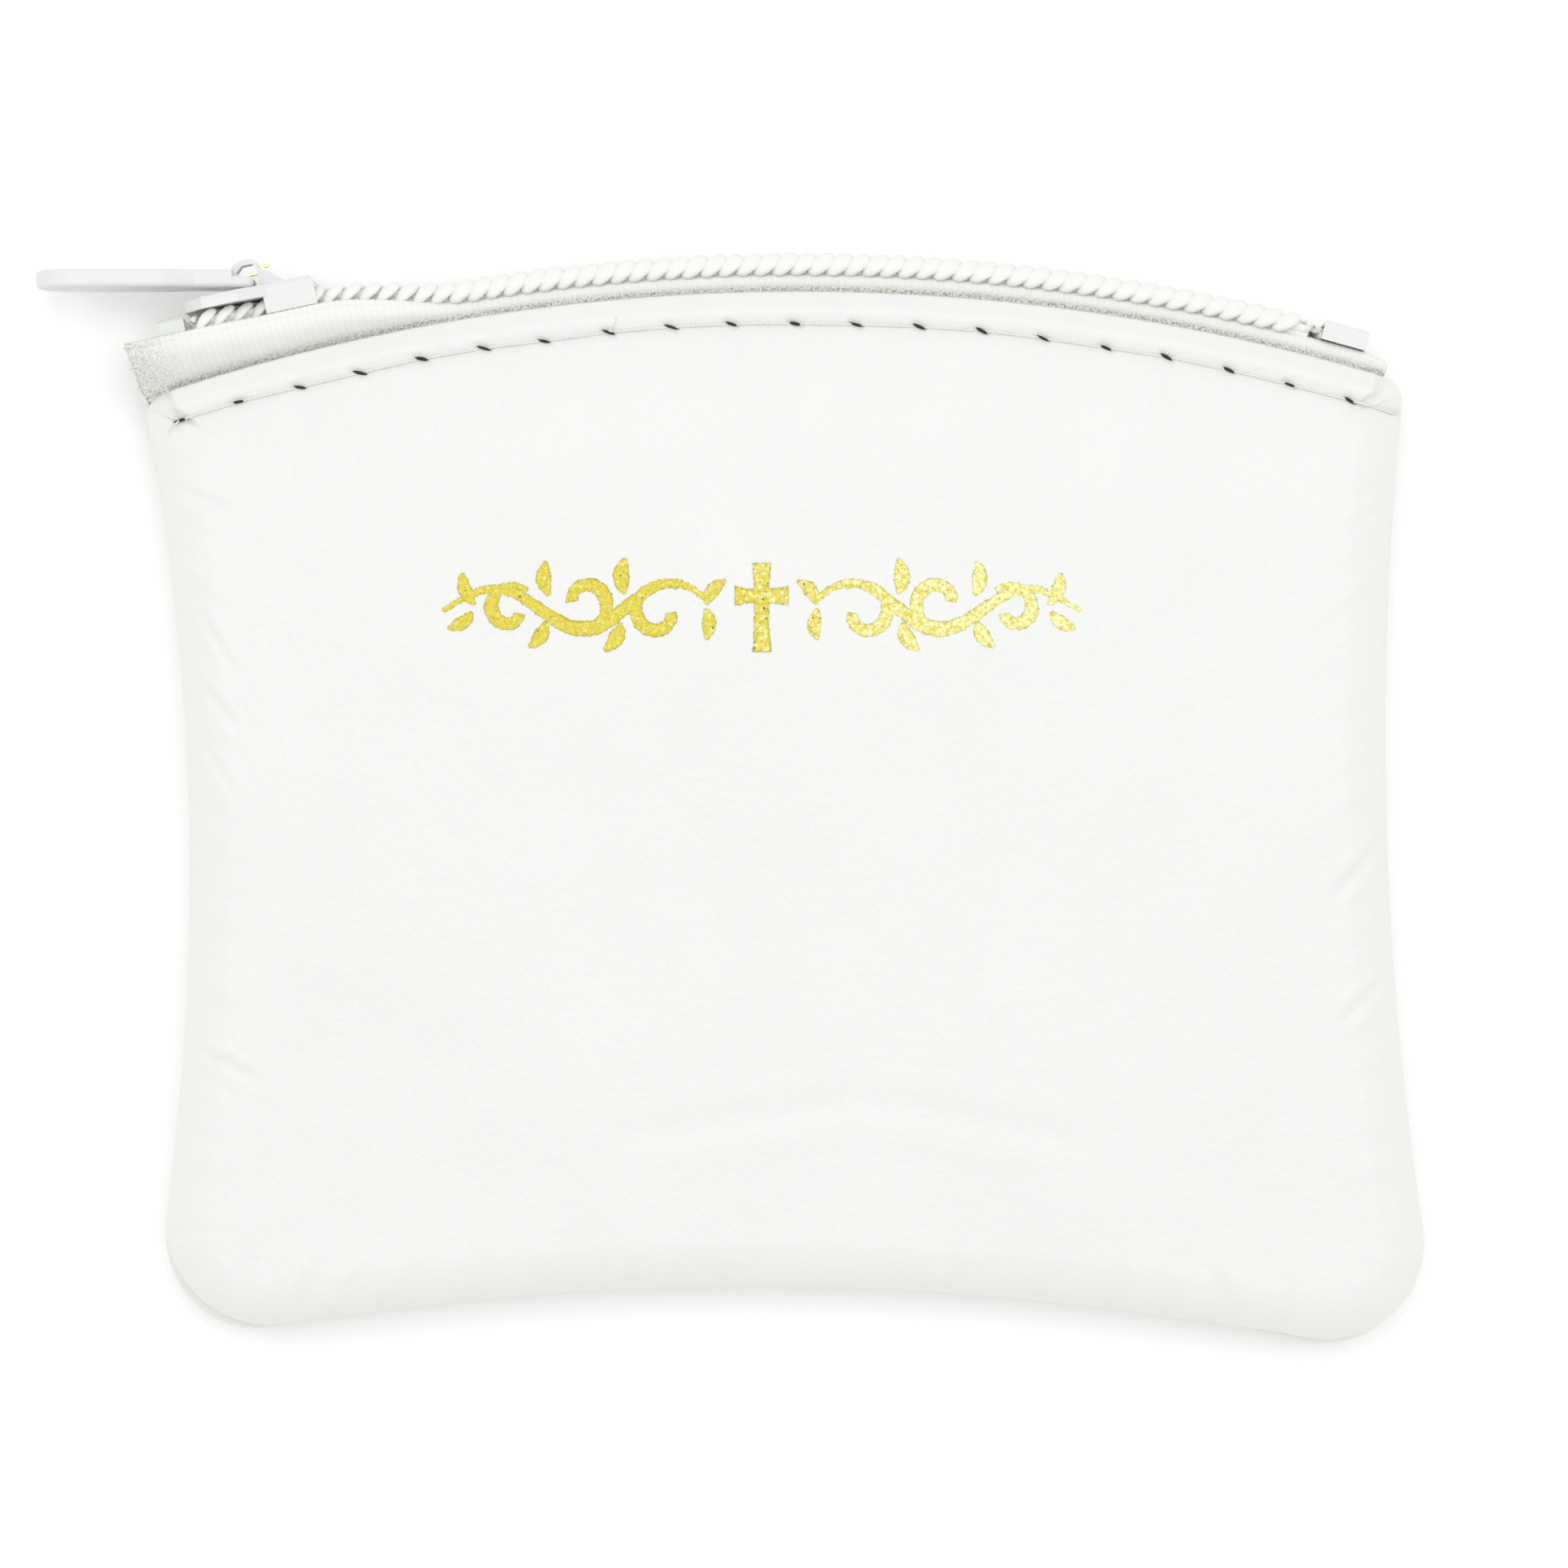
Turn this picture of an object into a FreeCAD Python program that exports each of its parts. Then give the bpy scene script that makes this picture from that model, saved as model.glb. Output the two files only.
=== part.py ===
import FreeCAD, Part
import math
import os
import Sketcher
from FreeCAD import Placement, Rotation, Vector

# Zipped leather rosary pouch, closed and lying on its back panel.
#
# X runs along the zip, Y from the bottom seam towards the zip and Z up through the pouch.
# The origin is the middle of the flat face of the back panel, which rests on z = 0.
# Both panels are mirrored about the mid-plane, where the zip chain runs.
# The zip lies on an arc about (zip_x, zip_y): radii below are measured from there.
# Distances "from the mid-plane" are along Z, positive towards the front panel.

SIZES = [
    ("total_thick", 9.0, "whole thickness of the closed pouch"),
    ("leather", 1.0, "leather thickness"),
    ("edge_round", 3.2, "rounding of the panels at the side and bottom seams"),
    ("corner_round", 6.5, "outline radius of the bottom corners"),
    ("mouth_corner", 1.6, "outline radius of the corners beside the mouth"),
    ("seam_allowance", 3.0, "width of leather turned in at the side and bottom seams"),
    ("zip_x", 0.4, "centre of the mouth arc"),
    ("zip_y", -101.4, "centre of the mouth arc"),
    ("mouth_radius", 134.2, "radius of the leather edge at the mouth"),
    ("lip_half_gap", 2.15, "from the mid-plane to the inner face of a mouth lip"),
    ("lip_slope", 0.1875, "fall of the panel towards the mouth edge, per mm"),
    ("left_x", -199.3, "centre of the left side arc"),
    ("left_y", -5.5, "centre of the left side arc"),
    ("left_radius", 159.6, "radius of the left side arc"),
    ("right_x", 252.5, "centre of the right side arc"),
    ("right_y", 3.7, "centre of the right side arc"),
    ("right_radius", 213.6, "radius of the right side arc"),
    ("bottom_x", -2.6, "centre of the bottom arc"),
    ("bottom_y", -219.3, "centre of the bottom arc"),
    ("bottom_radius", 186.8, "radius of the bottom arc"),
    ("stitch_radius", 132.0, "radius of the zip's lockstitch line"),
    ("stitch_first", -17.9, "angle of the first needle hole, degrees"),
    ("stitch_step", 1.775, "angle between needle holes, degrees"),
    ("stitch_count", 20, "stitches between the first and the last needle hole"),
    ("thread", 0.3, "sewing thread thickness"),
    ("needle_slit", 0.9, "length of the slit that the needle leaves"),
    ("slit_slant", -22.0, "slant of the slits, degrees"),
    ("seam_inset", 2.2, "from the outline to the hidden side seam's thread"),
    ("seam_pitch", 3.6, "stitch length of the hidden side seam"),
    ("seam_corner", 4.3, "radius of the hidden seam's thread at the bottom corners"),
    ("seam_stop", 6.0, "how far below the mouth edge the hidden seam's thread ends"),
    ("tape_thick", 0.35, "zip tape thickness"),
    ("tape_depth", 5.7, "how far the tape reaches inside the mouth edge"),
    ("tape_left", -18.6, "angle of the tape's end beside the top stops, degrees"),
    ("tape_right", 16.6, "angle of the tape's end beyond the bottom stop, degrees"),
    ("seat_radius", 135.45, "radius where the coils sit on the tapes"),
    ("coil_tall", 0.9, "height of the coil on its tape"),
    ("coil_half", 2.1, "from the mid-plane to the back of one closed coil"),
    ("coil_spine", 0.5, "from the mid-plane to the spine of one closed coil"),
    ("coil_head", 0.45, "how far a coil head reaches past the mid-plane"),
    ("coil_pitch", 1.18, "pitch of the coil turns"),
    ("coil_turn", 0.55, "width of one coil turn"),
    ("coil_left", -39.7, "end of the coils at the top stops"),
    ("coil_right", 34.9, "end of the coils in the bottom stop"),
    ("cord_near", 1.2, "from the mid-plane to the filler cord"),
    ("cord_wide", 0.6, "width of the filler cord inside a coil"),
    ("cord_tall", 0.4, "height of the filler cord inside a coil"),
    ("chain_stitch_near", 1.0, "from the mid-plane to the stitching that holds a coil to its tape"),
    ("chain_stitch_tall", 0.15, "height of the stitching that holds a coil to its tape"),
    ("chain_stitch_wide", 0.9, "width of the stitching that holds a coil to its tape"),
    ("slider_x", -35.65, "middle of the slider, on the underside of its top plate"),
    ("slider_y", 32.22, "middle of the slider, on the underside of its top plate"),
    ("slider_tilt", 12.0, "slope of the slider's path at the closed end, degrees"),
    ("slider_half_long", 4.3, "half the slider's length"),
    ("slider_front_half", 3.7, "half the width of the top plate at its wide end"),
    ("slider_rear_half", 2.8, "half the width of the top plate at its narrow end"),
    ("channel_half", 2.2, "half the width of the channel at the narrow end"),
    ("plate_thick", 0.8, "thickness of the slider's top plate"),
    ("plate_chamfer", 1.2, "cut corners at the top plate's wide end"),
    ("waist_front", 0.6, "start of the top plate's waist, ahead of the slider's middle"),
    ("waist_rear", 1.2, "end of the top plate's waist, behind the slider's middle"),
    ("flange_start", 0.9, "front of the flanges, behind the slider's middle"),
    ("flange_drop", 1.15, "drop of the flanges below the top plate"),
    ("seat_drop", 1.2, "from the top plate's underside to the coil's seat"),
    ("foot_drop", 1.6, "from the top plate's underside to the bottom plate"),
    ("foot_thick", 0.7, "thickness of the bottom plate"),
    ("foot_half", 2.6, "half the width of the bottom plate"),
    ("wedge_half", 0.66, "half the width of the wedge that parts the coils"),
    ("wedge_full", 3.0, "where the wedge reaches its full width, ahead of the slider's middle"),
    ("wedge_tip", 0.6, "tip of the wedge, ahead of the slider's middle"),
    ("wedge_lead", 0.9, "where the coils start to part, behind the slider's middle"),
    ("wedge_run", 3.9, "length over which the coils part"),
    ("settle_angle", 4.2, "arc over which the chain settles behind the slider, degrees"),
    ("parting", 1.3, "how far the wedge pushes each coil aside"),
    ("crown_half", 0.8, "half the width of the crown"),
    ("crown_front", -1.05, "front of the crown along the slider"),
    ("crown_rear", 2.35, "rear of the crown along the slider"),
    ("crown_top", 2.8, "top of the crown above the top plate's underside"),
    ("crown_hood", 0.92, "back of the crown's hood along the slider"),
    ("crown_ridge", 2.0, "start of the crown's rear slope above the top plate's underside"),
    ("crown_thick", 0.35, "thickness of the crown"),
    ("pivot_rise", 1.3, "pull tab's crossbar above the top plate's underside"),
    ("crossbar_radius", 0.4, "radius of the pull tab's crossbar"),
    ("tab_rest", 12.0, "pull tab's angle above the slider's nose at rest, degrees"),
    ("tab_long", 14.0, "pull tab from its crossbar to its free end"),
    ("tab_half", 2.5, "half the pull tab's width"),
    ("tab_root_half", 1.9, "half the pull tab's width at its crossbar"),
    ("tab_eye_half", 1.1, "half the width of the eye that the crown passes through"),
    ("tab_eye_end", 2.4, "far end of the eye from the crossbar"),
    ("tab_under", 0.4, "tab face below the crossbar's axis"),
    ("tab_over", 0.8, "tab face above the crossbar's axis"),
    ("tab_heel", 1.0, "length of the thinner heel, which clears the top plate when the tab is flipped over"),
    ("pin_thick", 0.25, "thickness of the lock pin"),
    ("pin_at", 1.0, "front of the lock pin's leg along the slider"),
    ("pin_top", 2.35, "bent top of the lock pin above the top plate's underside"),
    ("pin_reach", 1.5, "end of the lock pin's bent top along the slider"),
    ("leaf_thick", 0.12, "thickness of the strip over the crossbar"),
    ("pin_half", 0.4, "half the width of the lock pin"),
    ("stop_long", 1.8, "length of a top stop"),
    ("box_long", 3.0, "length of the bottom stop"),
    ("box_half", 2.4, "half the width of the bottom stop"),
    ("box_tall", 1.25, "height of the bottom stop on the tapes"),
    ("box_angle", 15.25, "angle of the middle of the bottom stop, degrees"),
    ("foil_thick", 0.04, "thickness of the foil ornament"),
    ("foil_x", -2.1, "middle of the foil ornament"),
    ("foil_y", 12.0, "middle of the foil ornament"),
    ("foil_wave", 2.3, "radius of one wave of the foil ornament"),
    ("foil_stroke", 1.1, "width of the foil's strokes"),
    ("foil_gap", 3.0, "from the middle of the ornament to its first wave"),
    ("cross_tall", 5.6, "height of the ornament's cross"),
    ("cross_arm", 1.5, "length of one arm of the ornament's cross"),
    ("cross_arm_rise", 0.3, "lower edge of the arms above the middle of the cross"),
    ("clearance", 0.03, "gap between parts that touch or slide"),
]

NODES = {}

doc = FreeCAD.newDocument("rosary_pouch")
sheet = doc.addObject("Spreadsheet::Sheet", "Sizes")
for row, (alias, value, meaning) in enumerate(SIZES, 1):
    sheet.set("A%d" % row, meaning)
    sheet.set("B%d" % row, str(value))
    sheet.setAlias("B%d" % row, alias)
doc.recompute()


def size(alias):
    """Value of one cell of the sheet."""
    return float(getattr(sheet, alias))


CLEAR = size("clearance")
MID = size("total_thick") / 2.0
FRONT = 1
BACK = -1


def keep(node, feature):
    """Register a document object as a finished sub-part of the pouch."""
    feature.Label = node
    NODES[node] = feature
    return feature


def shape_feature(node, shape):
    """Finished sub-part whose shape is made with Part's own functions."""
    feature = doc.addObject("Part::Feature", node)
    feature.Shape = shape
    return keep(node, feature)


# ---------------------------------------------------------------- the line of the zip


def polar(angle, radius, height=0.0):
    """Point at an angle in degrees from +Y (positive towards +X) about the mouth arc."""
    turn = math.radians(angle)
    return Vector(size("zip_x") + radius * math.sin(turn), size("zip_y") + radius * math.cos(turn), height)


def smooth(step):
    """Smooth rise from 0 to 1."""
    step = min(max(step, 0.0), 1.0)
    return step * step * (3.0 - 2.0 * step)


SEAT_POINT = Vector(size("slider_x"), size("slider_y"), 0) - Vector(
    -math.sin(math.radians(size("slider_tilt"))), math.cos(math.radians(size("slider_tilt"))), 0
) * size("seat_drop")
SLIDER_ANGLE = math.degrees(math.atan2(SEAT_POINT.x - size("zip_x"), SEAT_POINT.y - size("zip_y")))
SLIDER_SEAT = math.hypot(SEAT_POINT.x - size("zip_x"), SEAT_POINT.y - size("zip_y"))
SLIDER_REAR_ANGLE = SLIDER_ANGLE + math.degrees(size("slider_half_long") / SLIDER_SEAT)
SETTLE_ANGLE = size("settle_angle")


def lifted(angle):
    """1 where the chain runs inside the slider, falling to 0 where it lies on its own arc."""
    return smooth(1.0 - (angle - SLIDER_REAR_ANGLE) / SETTLE_ANGLE)


def seat(angle):
    """Radius of the coils' seat, which rises to the slider's straight channel."""
    lean = math.radians(size("slider_tilt") + SLIDER_ANGLE)
    offset = math.radians(angle - SLIDER_ANGLE)
    channel = SLIDER_SEAT * math.cos(lean) / math.cos(offset + lean)
    return size("seat_radius") + (channel - size("seat_radius")) * lifted(angle)


def parted(x):
    """How far the slider's wedge has moved each coil from the mid-plane at x."""
    along = (x - SEAT_POINT.x) / math.cos(math.radians(size("slider_tilt")))
    return size("parting") * smooth((size("wedge_lead") - along) / size("wedge_run"))


def span(first, last, step):
    """Evenly spaced values from first to last, no further apart than step."""
    count = int(math.ceil((last - first) / step))
    return [first + (last - first) * index / count for index in range(count + 1)]


ZIP_ANGLES = span(size("tape_left"), SLIDER_REAR_ANGLE + SETTLE_ANGLE, 0.5)
ZIP_ANGLES += span(SLIDER_REAR_ANGLE + SETTLE_ANGLE, size("tape_right"), 1.5)[1:]


# ---------------------------------------------------------------- leather panels


def outline_block(name, inset, low, high, mouth_radius):
    """Slab with the pouch's outline moved in by inset, between two heights."""
    slab = doc.addObject("Part::Box", name + "_slab")
    slab.Length = 100
    slab.Width = 90
    slab.Placement.Base = Vector(-50, -45, 0)
    slab.setExpression("Placement.Base.z", low)
    slab.setExpression("Height", "(%s) - (%s)" % (high, low))
    discs = {}
    for side in ("zip", "left", "right", "bottom"):
        disc = doc.addObject("Part::Cylinder", "%s_%s" % (name, side))
        disc.setExpression("Placement.Base.x", "Sizes.%s_x" % side)
        disc.setExpression("Placement.Base.y", "Sizes.%s_y" % side)
        disc.setExpression("Placement.Base.z", low)
        disc.setExpression("Height", "(%s) - (%s)" % (high, low))
        if side == "zip":
            disc.setExpression("Radius", mouth_radius)
        else:
            disc.setExpression("Radius", "Sizes.%s_radius + %s" % (side, inset))
        discs[side] = disc
    under_arc = doc.addObject("Part::Common", name + "_under_arc")
    under_arc.Base = slab
    under_arc.Tool = discs["zip"]
    sides = doc.addObject("Part::MultiFuse", name + "_sides")
    sides.Shapes = [discs["left"], discs["right"], discs["bottom"]]
    block = doc.addObject("Part::Cut", name + "_block")
    block.Base = under_arc
    block.Tool = sides
    doc.recompute()
    return block


def rounded(source, name, radius_of):
    """Fillet of every edge for which radius_of gives a radius."""
    fillet = doc.addObject("Part::Fillet", name)
    fillet.Base = source
    edges = []
    for number, edge in enumerate(source.Shape.Edges, 1):
        radius = radius_of(edge)
        if radius:
            edges.append((number, radius, radius))
    fillet.Edges = edges
    doc.recompute()
    return fillet


def is_upright(edge):
    """True for a straight edge along Z."""
    ends = [vertex.Point for vertex in edge.Vertexes]
    return len(ends) == 2 and (ends[0] - ends[1]).Length - abs(ends[0].z - ends[1].z) < 1e-6


def padded_block(name, inset, low, high, mouth_radius, with_mouth_corners):
    """Outline slab with rounded corners and its upper side and bottom edges rounded over."""
    block = outline_block(name, inset, low, high, mouth_radius)
    inset_value = sheet.evalExpression(inset)
    top = block.Shape.BoundBox.ZMax

    def corner_radius(edge):
        if not is_upright(edge):
            return None
        if edge.CenterOfMass.y < 0:
            return size("corner_round") - inset_value
        return size("mouth_corner") if with_mouth_corners else None

    def top_radius(edge):
        middle = edge.valueAt((edge.FirstParameter + edge.LastParameter) / 2.0)
        reach = math.hypot(middle.x - size("zip_x"), middle.y - size("zip_y"))
        on_top = edge.BoundBox.ZMin > top - 1e-6
        return size("edge_round") - inset_value if on_top and reach < size("mouth_radius") - 1.0 else None

    cornered = rounded(block, name + "_corners", corner_radius)
    return rounded(cornered, name + "_padded", top_radius)


def lip_cone(name, drop):
    """Cone that slopes the panel towards the mouth, lowered by drop."""
    low = -1.0
    high = size("total_thick") + 1.0
    reach = "Sizes.mouth_radius + (Sizes.total_thick / 2 + Sizes.lip_half_gap + %s - (%s)) / Sizes.lip_slope"
    cone = doc.addObject("Part::Cone", name)
    cone.setExpression("Placement.Base.x", "Sizes.zip_x")
    cone.setExpression("Placement.Base.y", "Sizes.zip_y")
    cone.Placement.Base.z = low
    cone.Height = high - low
    rise = "Sizes.leather * sqrt(1 + Sizes.lip_slope ^ 2) - %s" % drop
    cone.setExpression("Radius1", reach % (rise, low))
    cone.setExpression("Radius2", reach % (rise, high))
    return cone


def common(name, base, tool):
    """Part::Common of two document objects."""
    result = doc.addObject("Part::Common", name)
    result.Base = base
    result.Tool = tool
    return result


def cut(name, base, tool):
    """Part::Cut of two document objects."""
    result = doc.addObject("Part::Cut", name)
    result.Base = base
    result.Tool = tool
    return result


def panel_blank():
    """Front panel before its needle slits: padded leather shell with turned-in seam allowance."""
    middle = "Sizes.total_thick / 2"
    top = "Sizes.total_thick"
    skin = padded_block("skin", "0", middle, top, "Sizes.mouth_radius", True)
    skin = common("skin_sloped", skin, lip_cone("skin_cone", "0"))
    inner_top = "Sizes.total_thick - Sizes.leather"
    open_mouth = "Sizes.mouth_radius + 4"
    hollow = padded_block("hollow", "Sizes.leather", middle + " + Sizes.leather", inner_top, open_mouth, False)
    drop = "Sizes.leather * sqrt(1 + Sizes.lip_slope ^ 2)"
    hollow = common("hollow_sloped", hollow, lip_cone("hollow_cone", drop))
    window_inset = "(Sizes.leather + Sizes.seam_allowance)"
    window_low = middle + " - 1"
    window_high = middle + " + Sizes.leather + 0.5"
    window = outline_block("window", window_inset, window_low, window_high, open_mouth)
    shell = cut("panel_shell", skin, hollow)
    blank = cut("panel_blank", shell, window)
    doc.recompute()
    return blank


# ---------------------------------------------------------------- sewing


def slit(point, direction, low, high):
    """Slanted slit that the needle leaves, centred on point."""
    long = size("needle_slit")
    wide = size("thread") + 0.1
    box = Part.makeBox(long, wide, high - low, Vector(-long / 2.0, -wide / 2.0, low))
    box.rotate(Vector(), Vector(0, 0, 1), direction)
    box.translate(Vector(point.x, point.y, 0))
    return box


def staple(start, end, bar_low, bar_high, leg_end):
    """One stitch: a bar from hole to hole and a leg down each hole."""
    wide = size("thread")
    run = end - start
    long = run.Length
    shape = Part.makeBox(long + wide, wide, bar_high - bar_low, Vector(-wide / 2.0, -wide / 2.0, bar_low))
    for place in (-wide / 2.0, long - wide / 2.0):
        leg_low = min(leg_end, bar_low)
        leg_high = max(leg_end, bar_high)
        leg = Part.makeBox(wide, wide, leg_high - leg_low, Vector(place, -wide / 2.0, leg_low))
        shape = shape.fuse(leg)
    shape.rotate(Vector(), Vector(0, 0, 1), math.degrees(math.atan2(run.y, run.x)))
    shape.translate(Vector(start.x, start.y, 0))
    return shape


def thread_line(points, bar_low, bar_high, leg_end):
    """Continuous thread that dips through every needle hole."""
    stitches = [staple(a, b, bar_low, bar_high, leg_end) for a, b in zip(points, points[1:])]
    return stitches[0].multiFuse(stitches[1:]).removeSplitter()


def mirrored(shape):
    """The same shape on the back half of the pouch."""
    return shape.mirror(Vector(0, 0, MID), Vector(0, 0, 1))


def on_side(shape, side):
    """A front shape, or its mirror image for the back."""
    return shape if side == FRONT else mirrored(shape)


def mouth_holes():
    """Needle hole positions of the zip seam."""
    count = int(size("stitch_count"))
    first = size("stitch_first")
    return [polar(first + size("stitch_step") * index, size("stitch_radius")) for index in range(count + 1)]


def mouth_surface():
    """Height of the front panel's outer face at the zip seam."""
    rise = size("leather") * math.hypot(1.0, size("lip_slope"))
    fall = (size("mouth_radius") - size("stitch_radius")) * size("lip_slope")
    return MID + size("lip_half_gap") + rise + fall


def tape_inside():
    """Height of the front tape's inner face at the zip seam."""
    leather = size("leather") * math.hypot(1.0, size("lip_slope"))
    return mouth_surface() - leather - 2.0 * CLEAR - size("tape_thick")


def mouth_slits():
    """All the needle slits of the front zip seam, as one tool."""
    low = tape_inside() - size("thread")
    high = size("total_thick") + size("leather")
    slant = size("slit_slant")
    return Part.makeCompound([slit(point, slant, low, high) for point in mouth_holes()])


def zip_reach(point):
    """Distance of a point from the centre of the mouth arc."""
    return math.hypot(point.x - size("zip_x"), point.y - size("zip_y"))


def seam_points():
    """Needle hole positions of the hidden seam, down one side, along the bottom and up the other."""
    outline = outline_block("seam_line", "Sizes.seam_inset", "0", "1", "Sizes.mouth_radius - Sizes.seam_stop")
    corner = size("seam_corner")
    corners = rounded(outline, "seam_line_corners", lambda edge: corner if is_upright(edge) else None)
    face = [face for face in corners.Shape.Faces if face.normalAt(0, 0).z > 0.99][0]
    points = [Vector(p.x, p.y, 0) for p in face.OuterWire.discretize(Distance=size("seam_pitch"))]
    top_arc = size("mouth_radius") - size("seam_stop") - 0.2
    start = max(range(len(points)), key=lambda index: zip_reach(points[index]) > top_arc)
    ordered = points[start:] + points[:start]
    return [point for point in ordered if zip_reach(point) < top_arc - 1.0]


def sewn_panels():
    """Both panels with their needle slits, and the threads that sew them."""
    blank = panel_blank().Shape
    holes = mouth_holes()
    seam = seam_points()
    allowance = size("leather")
    seam_low = MID - allowance - size("thread") - CLEAR
    seam_high = MID + allowance + size("thread") + CLEAR
    wide = size("thread") + 0.1
    deep = allowance + 0.2
    box_at = Vector(-wide / 2.0, -wide / 2.0, MID - deep)
    seam_holes = Part.makeCompound([Part.makeBox(wide, wide, 2.0 * deep, box_at + point) for point in seam])
    for node, side in (("front_panel", FRONT), ("back_panel", BACK)):
        panel = on_side(blank.cut(mouth_slits()), side).cut(seam_holes)
        shape_feature(node, panel)
    bar_low = mouth_surface() + CLEAR
    needle = thread_line(holes, bar_low, bar_low + size("thread"), tape_inside() - CLEAR)
    bobbin_high = tape_inside() - 2.0 * CLEAR
    bobbin = arc_band(size("stitch_radius"), bobbin_high - size("thread"), bobbin_high).cut(blank)
    bobbin = max(bobbin.Solids, key=lambda solid: solid.Volume)
    for end, side in (("front", FRONT), ("back", BACK)):
        shape_feature("zip_needle_thread_" + end, on_side(needle, side))
        shape_feature("zip_bobbin_thread_" + end, on_side(bobbin, side))
    upper = thread_line(seam, seam_high - size("thread"), seam_high, MID)
    lower = thread_line(seam, seam_low, seam_low + size("thread"), MID)
    shape_feature("side_seam_thread", upper.fuse(lower).removeSplitter())


def arc_band(radius, low, high):
    """Thread that runs straight along the zip seam between its end holes."""
    half = size("thread") / 2.0
    first = size("stitch_first")
    last = first + size("stitch_step") * size("stitch_count")
    middle = (first + last) / 2.0
    outer = [polar(angle, radius + half, low) for angle in (first, middle, last)]
    inner = [polar(angle, radius - half, low) for angle in (last, middle, first)]
    edges = [
        Part.Arc(*outer).toShape(),
        Part.makeLine(outer[-1], inner[0]),
        Part.Arc(*inner).toShape(),
        Part.makeLine(inner[-1], outer[0]),
    ]
    return Part.Face(Part.Wire(edges)).extrude(Vector(0, 0, high - low))


# ---------------------------------------------------------------- zip tapes and coils


def tape_profile(angle):
    """Outline of the front tape's cross-section as (radius, height from the mid-plane)."""
    rise = lifted(angle)
    level = seat(angle)
    aside = parted(polar(angle, level).x)
    thick = size("tape_thick")
    lip = size("lip_half_gap") - CLEAR
    mouth = size("mouth_radius")
    depth = size("tape_depth")
    slope = size("lip_slope")

    def between(plain, in_slider):
        # each pair is (radius from the coils' seat, height), first on the arc and then in the slider
        return (
            level + plain[0] + (in_slider[0] - plain[0]) * rise,
            plain[1] + (in_slider[1] - plain[1]) * rise + 0.5 * aside,
        )

    inner_edge = 0.6 + aside
    outer = [
        (mouth - depth, lip + depth * slope),
        (mouth, lip),
        between((-0.5, 2.2), (-1.2, 3.35)),
        between((-0.15, 2.0), (-0.35, 3.4)),
        between((0.0, 1.6), (0.0, 3.1)),
        (level, inner_edge),
    ]
    inner = [
        (level - thick, inner_edge),
        between((-thick, 1.5), (-thick, 2.95)),
        between((-0.5, 1.65), (-0.6, 3.05)),
        between((-0.7, 1.85), (-1.25, 3.0)),
        (mouth - 0.05, lip - thick),
        (mouth - depth, lip + depth * slope - thick),
    ]
    return outer + inner


def tape_loft():
    """Front zip tape: sewn under the mouth lip, then bent over to carry the coil."""
    wires = []
    for angle in ZIP_ANGLES:
        ring = [polar(angle, radius, MID + high) for radius, high in tape_profile(angle)]
        wires.append(Part.makePolygon(ring + ring[:1]))
    return Part.makeLoft(wires, True, True)


def chain_ribbon(low, high):
    """Sheet along the chain between two heights above the coils' seat."""
    upper = [polar(angle, seat(angle) + high) for angle in ZIP_ANGLES]
    lower = [polar(angle, seat(angle) + low) for angle in reversed(ZIP_ANGLES)]
    curves = []
    for points in (upper, lower):
        curve = Part.BSplineCurve()
        curve.interpolate(points)
        curves.append(curve.toShape())
    closing = [Part.makeLine(upper[-1], lower[0]), Part.makeLine(lower[-1], upper[0])]
    face = Part.Face(Part.Wire([curves[0], closing[0], curves[1], closing[1]]))
    return face.extrude(Vector(0, 0, size("total_thick")))


def seen_from_above(points):
    """Upright prism through the chain from (x, height from the mid-plane) points, front half."""
    ring = [Vector(x, 20.0, MID + high) for x, high in points]
    return Part.Face(Part.makePolygon(ring + ring[:1])).extrude(Vector(0, 20, 0))


def strip_points(near, far, left, right):
    """Plain strip between two distances from the mid-plane, parted by the slider's wedge."""
    columns = span(left, size("slider_x") + 2.0, 0.8) + [right]
    outer = [(x, far + parted(x)) for x in columns]
    inner = [(x, near + parted(x)) for x in reversed(columns)]
    return outer + inner


def coil_points(shift):
    """Front coil seen along the slider's height: a spine with one head for each turn."""
    left = size("coil_left")
    right = size("coil_right")
    half_turn = size("coil_turn") / 2.0
    columns = span(left, size("slider_x") + 2.0, 0.8) + [right]
    points = [(x, size("coil_half") + parted(x)) for x in columns]
    count = int((right - left - size("coil_turn")) / size("coil_pitch"))
    turns = [left + half_turn + shift + size("coil_pitch") * index for index in range(count)]
    points.append((right, size("coil_spine")))
    for x in reversed(turns):
        root = size("coil_spine") + parted(x)
        tip = -size("coil_head") + parted(x)
        points += [(x + half_turn, root), (x + half_turn, tip), (x - half_turn, tip), (x - half_turn, root)]
    points.append((left, size("coil_spine") + parted(left)))
    return points


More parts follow.
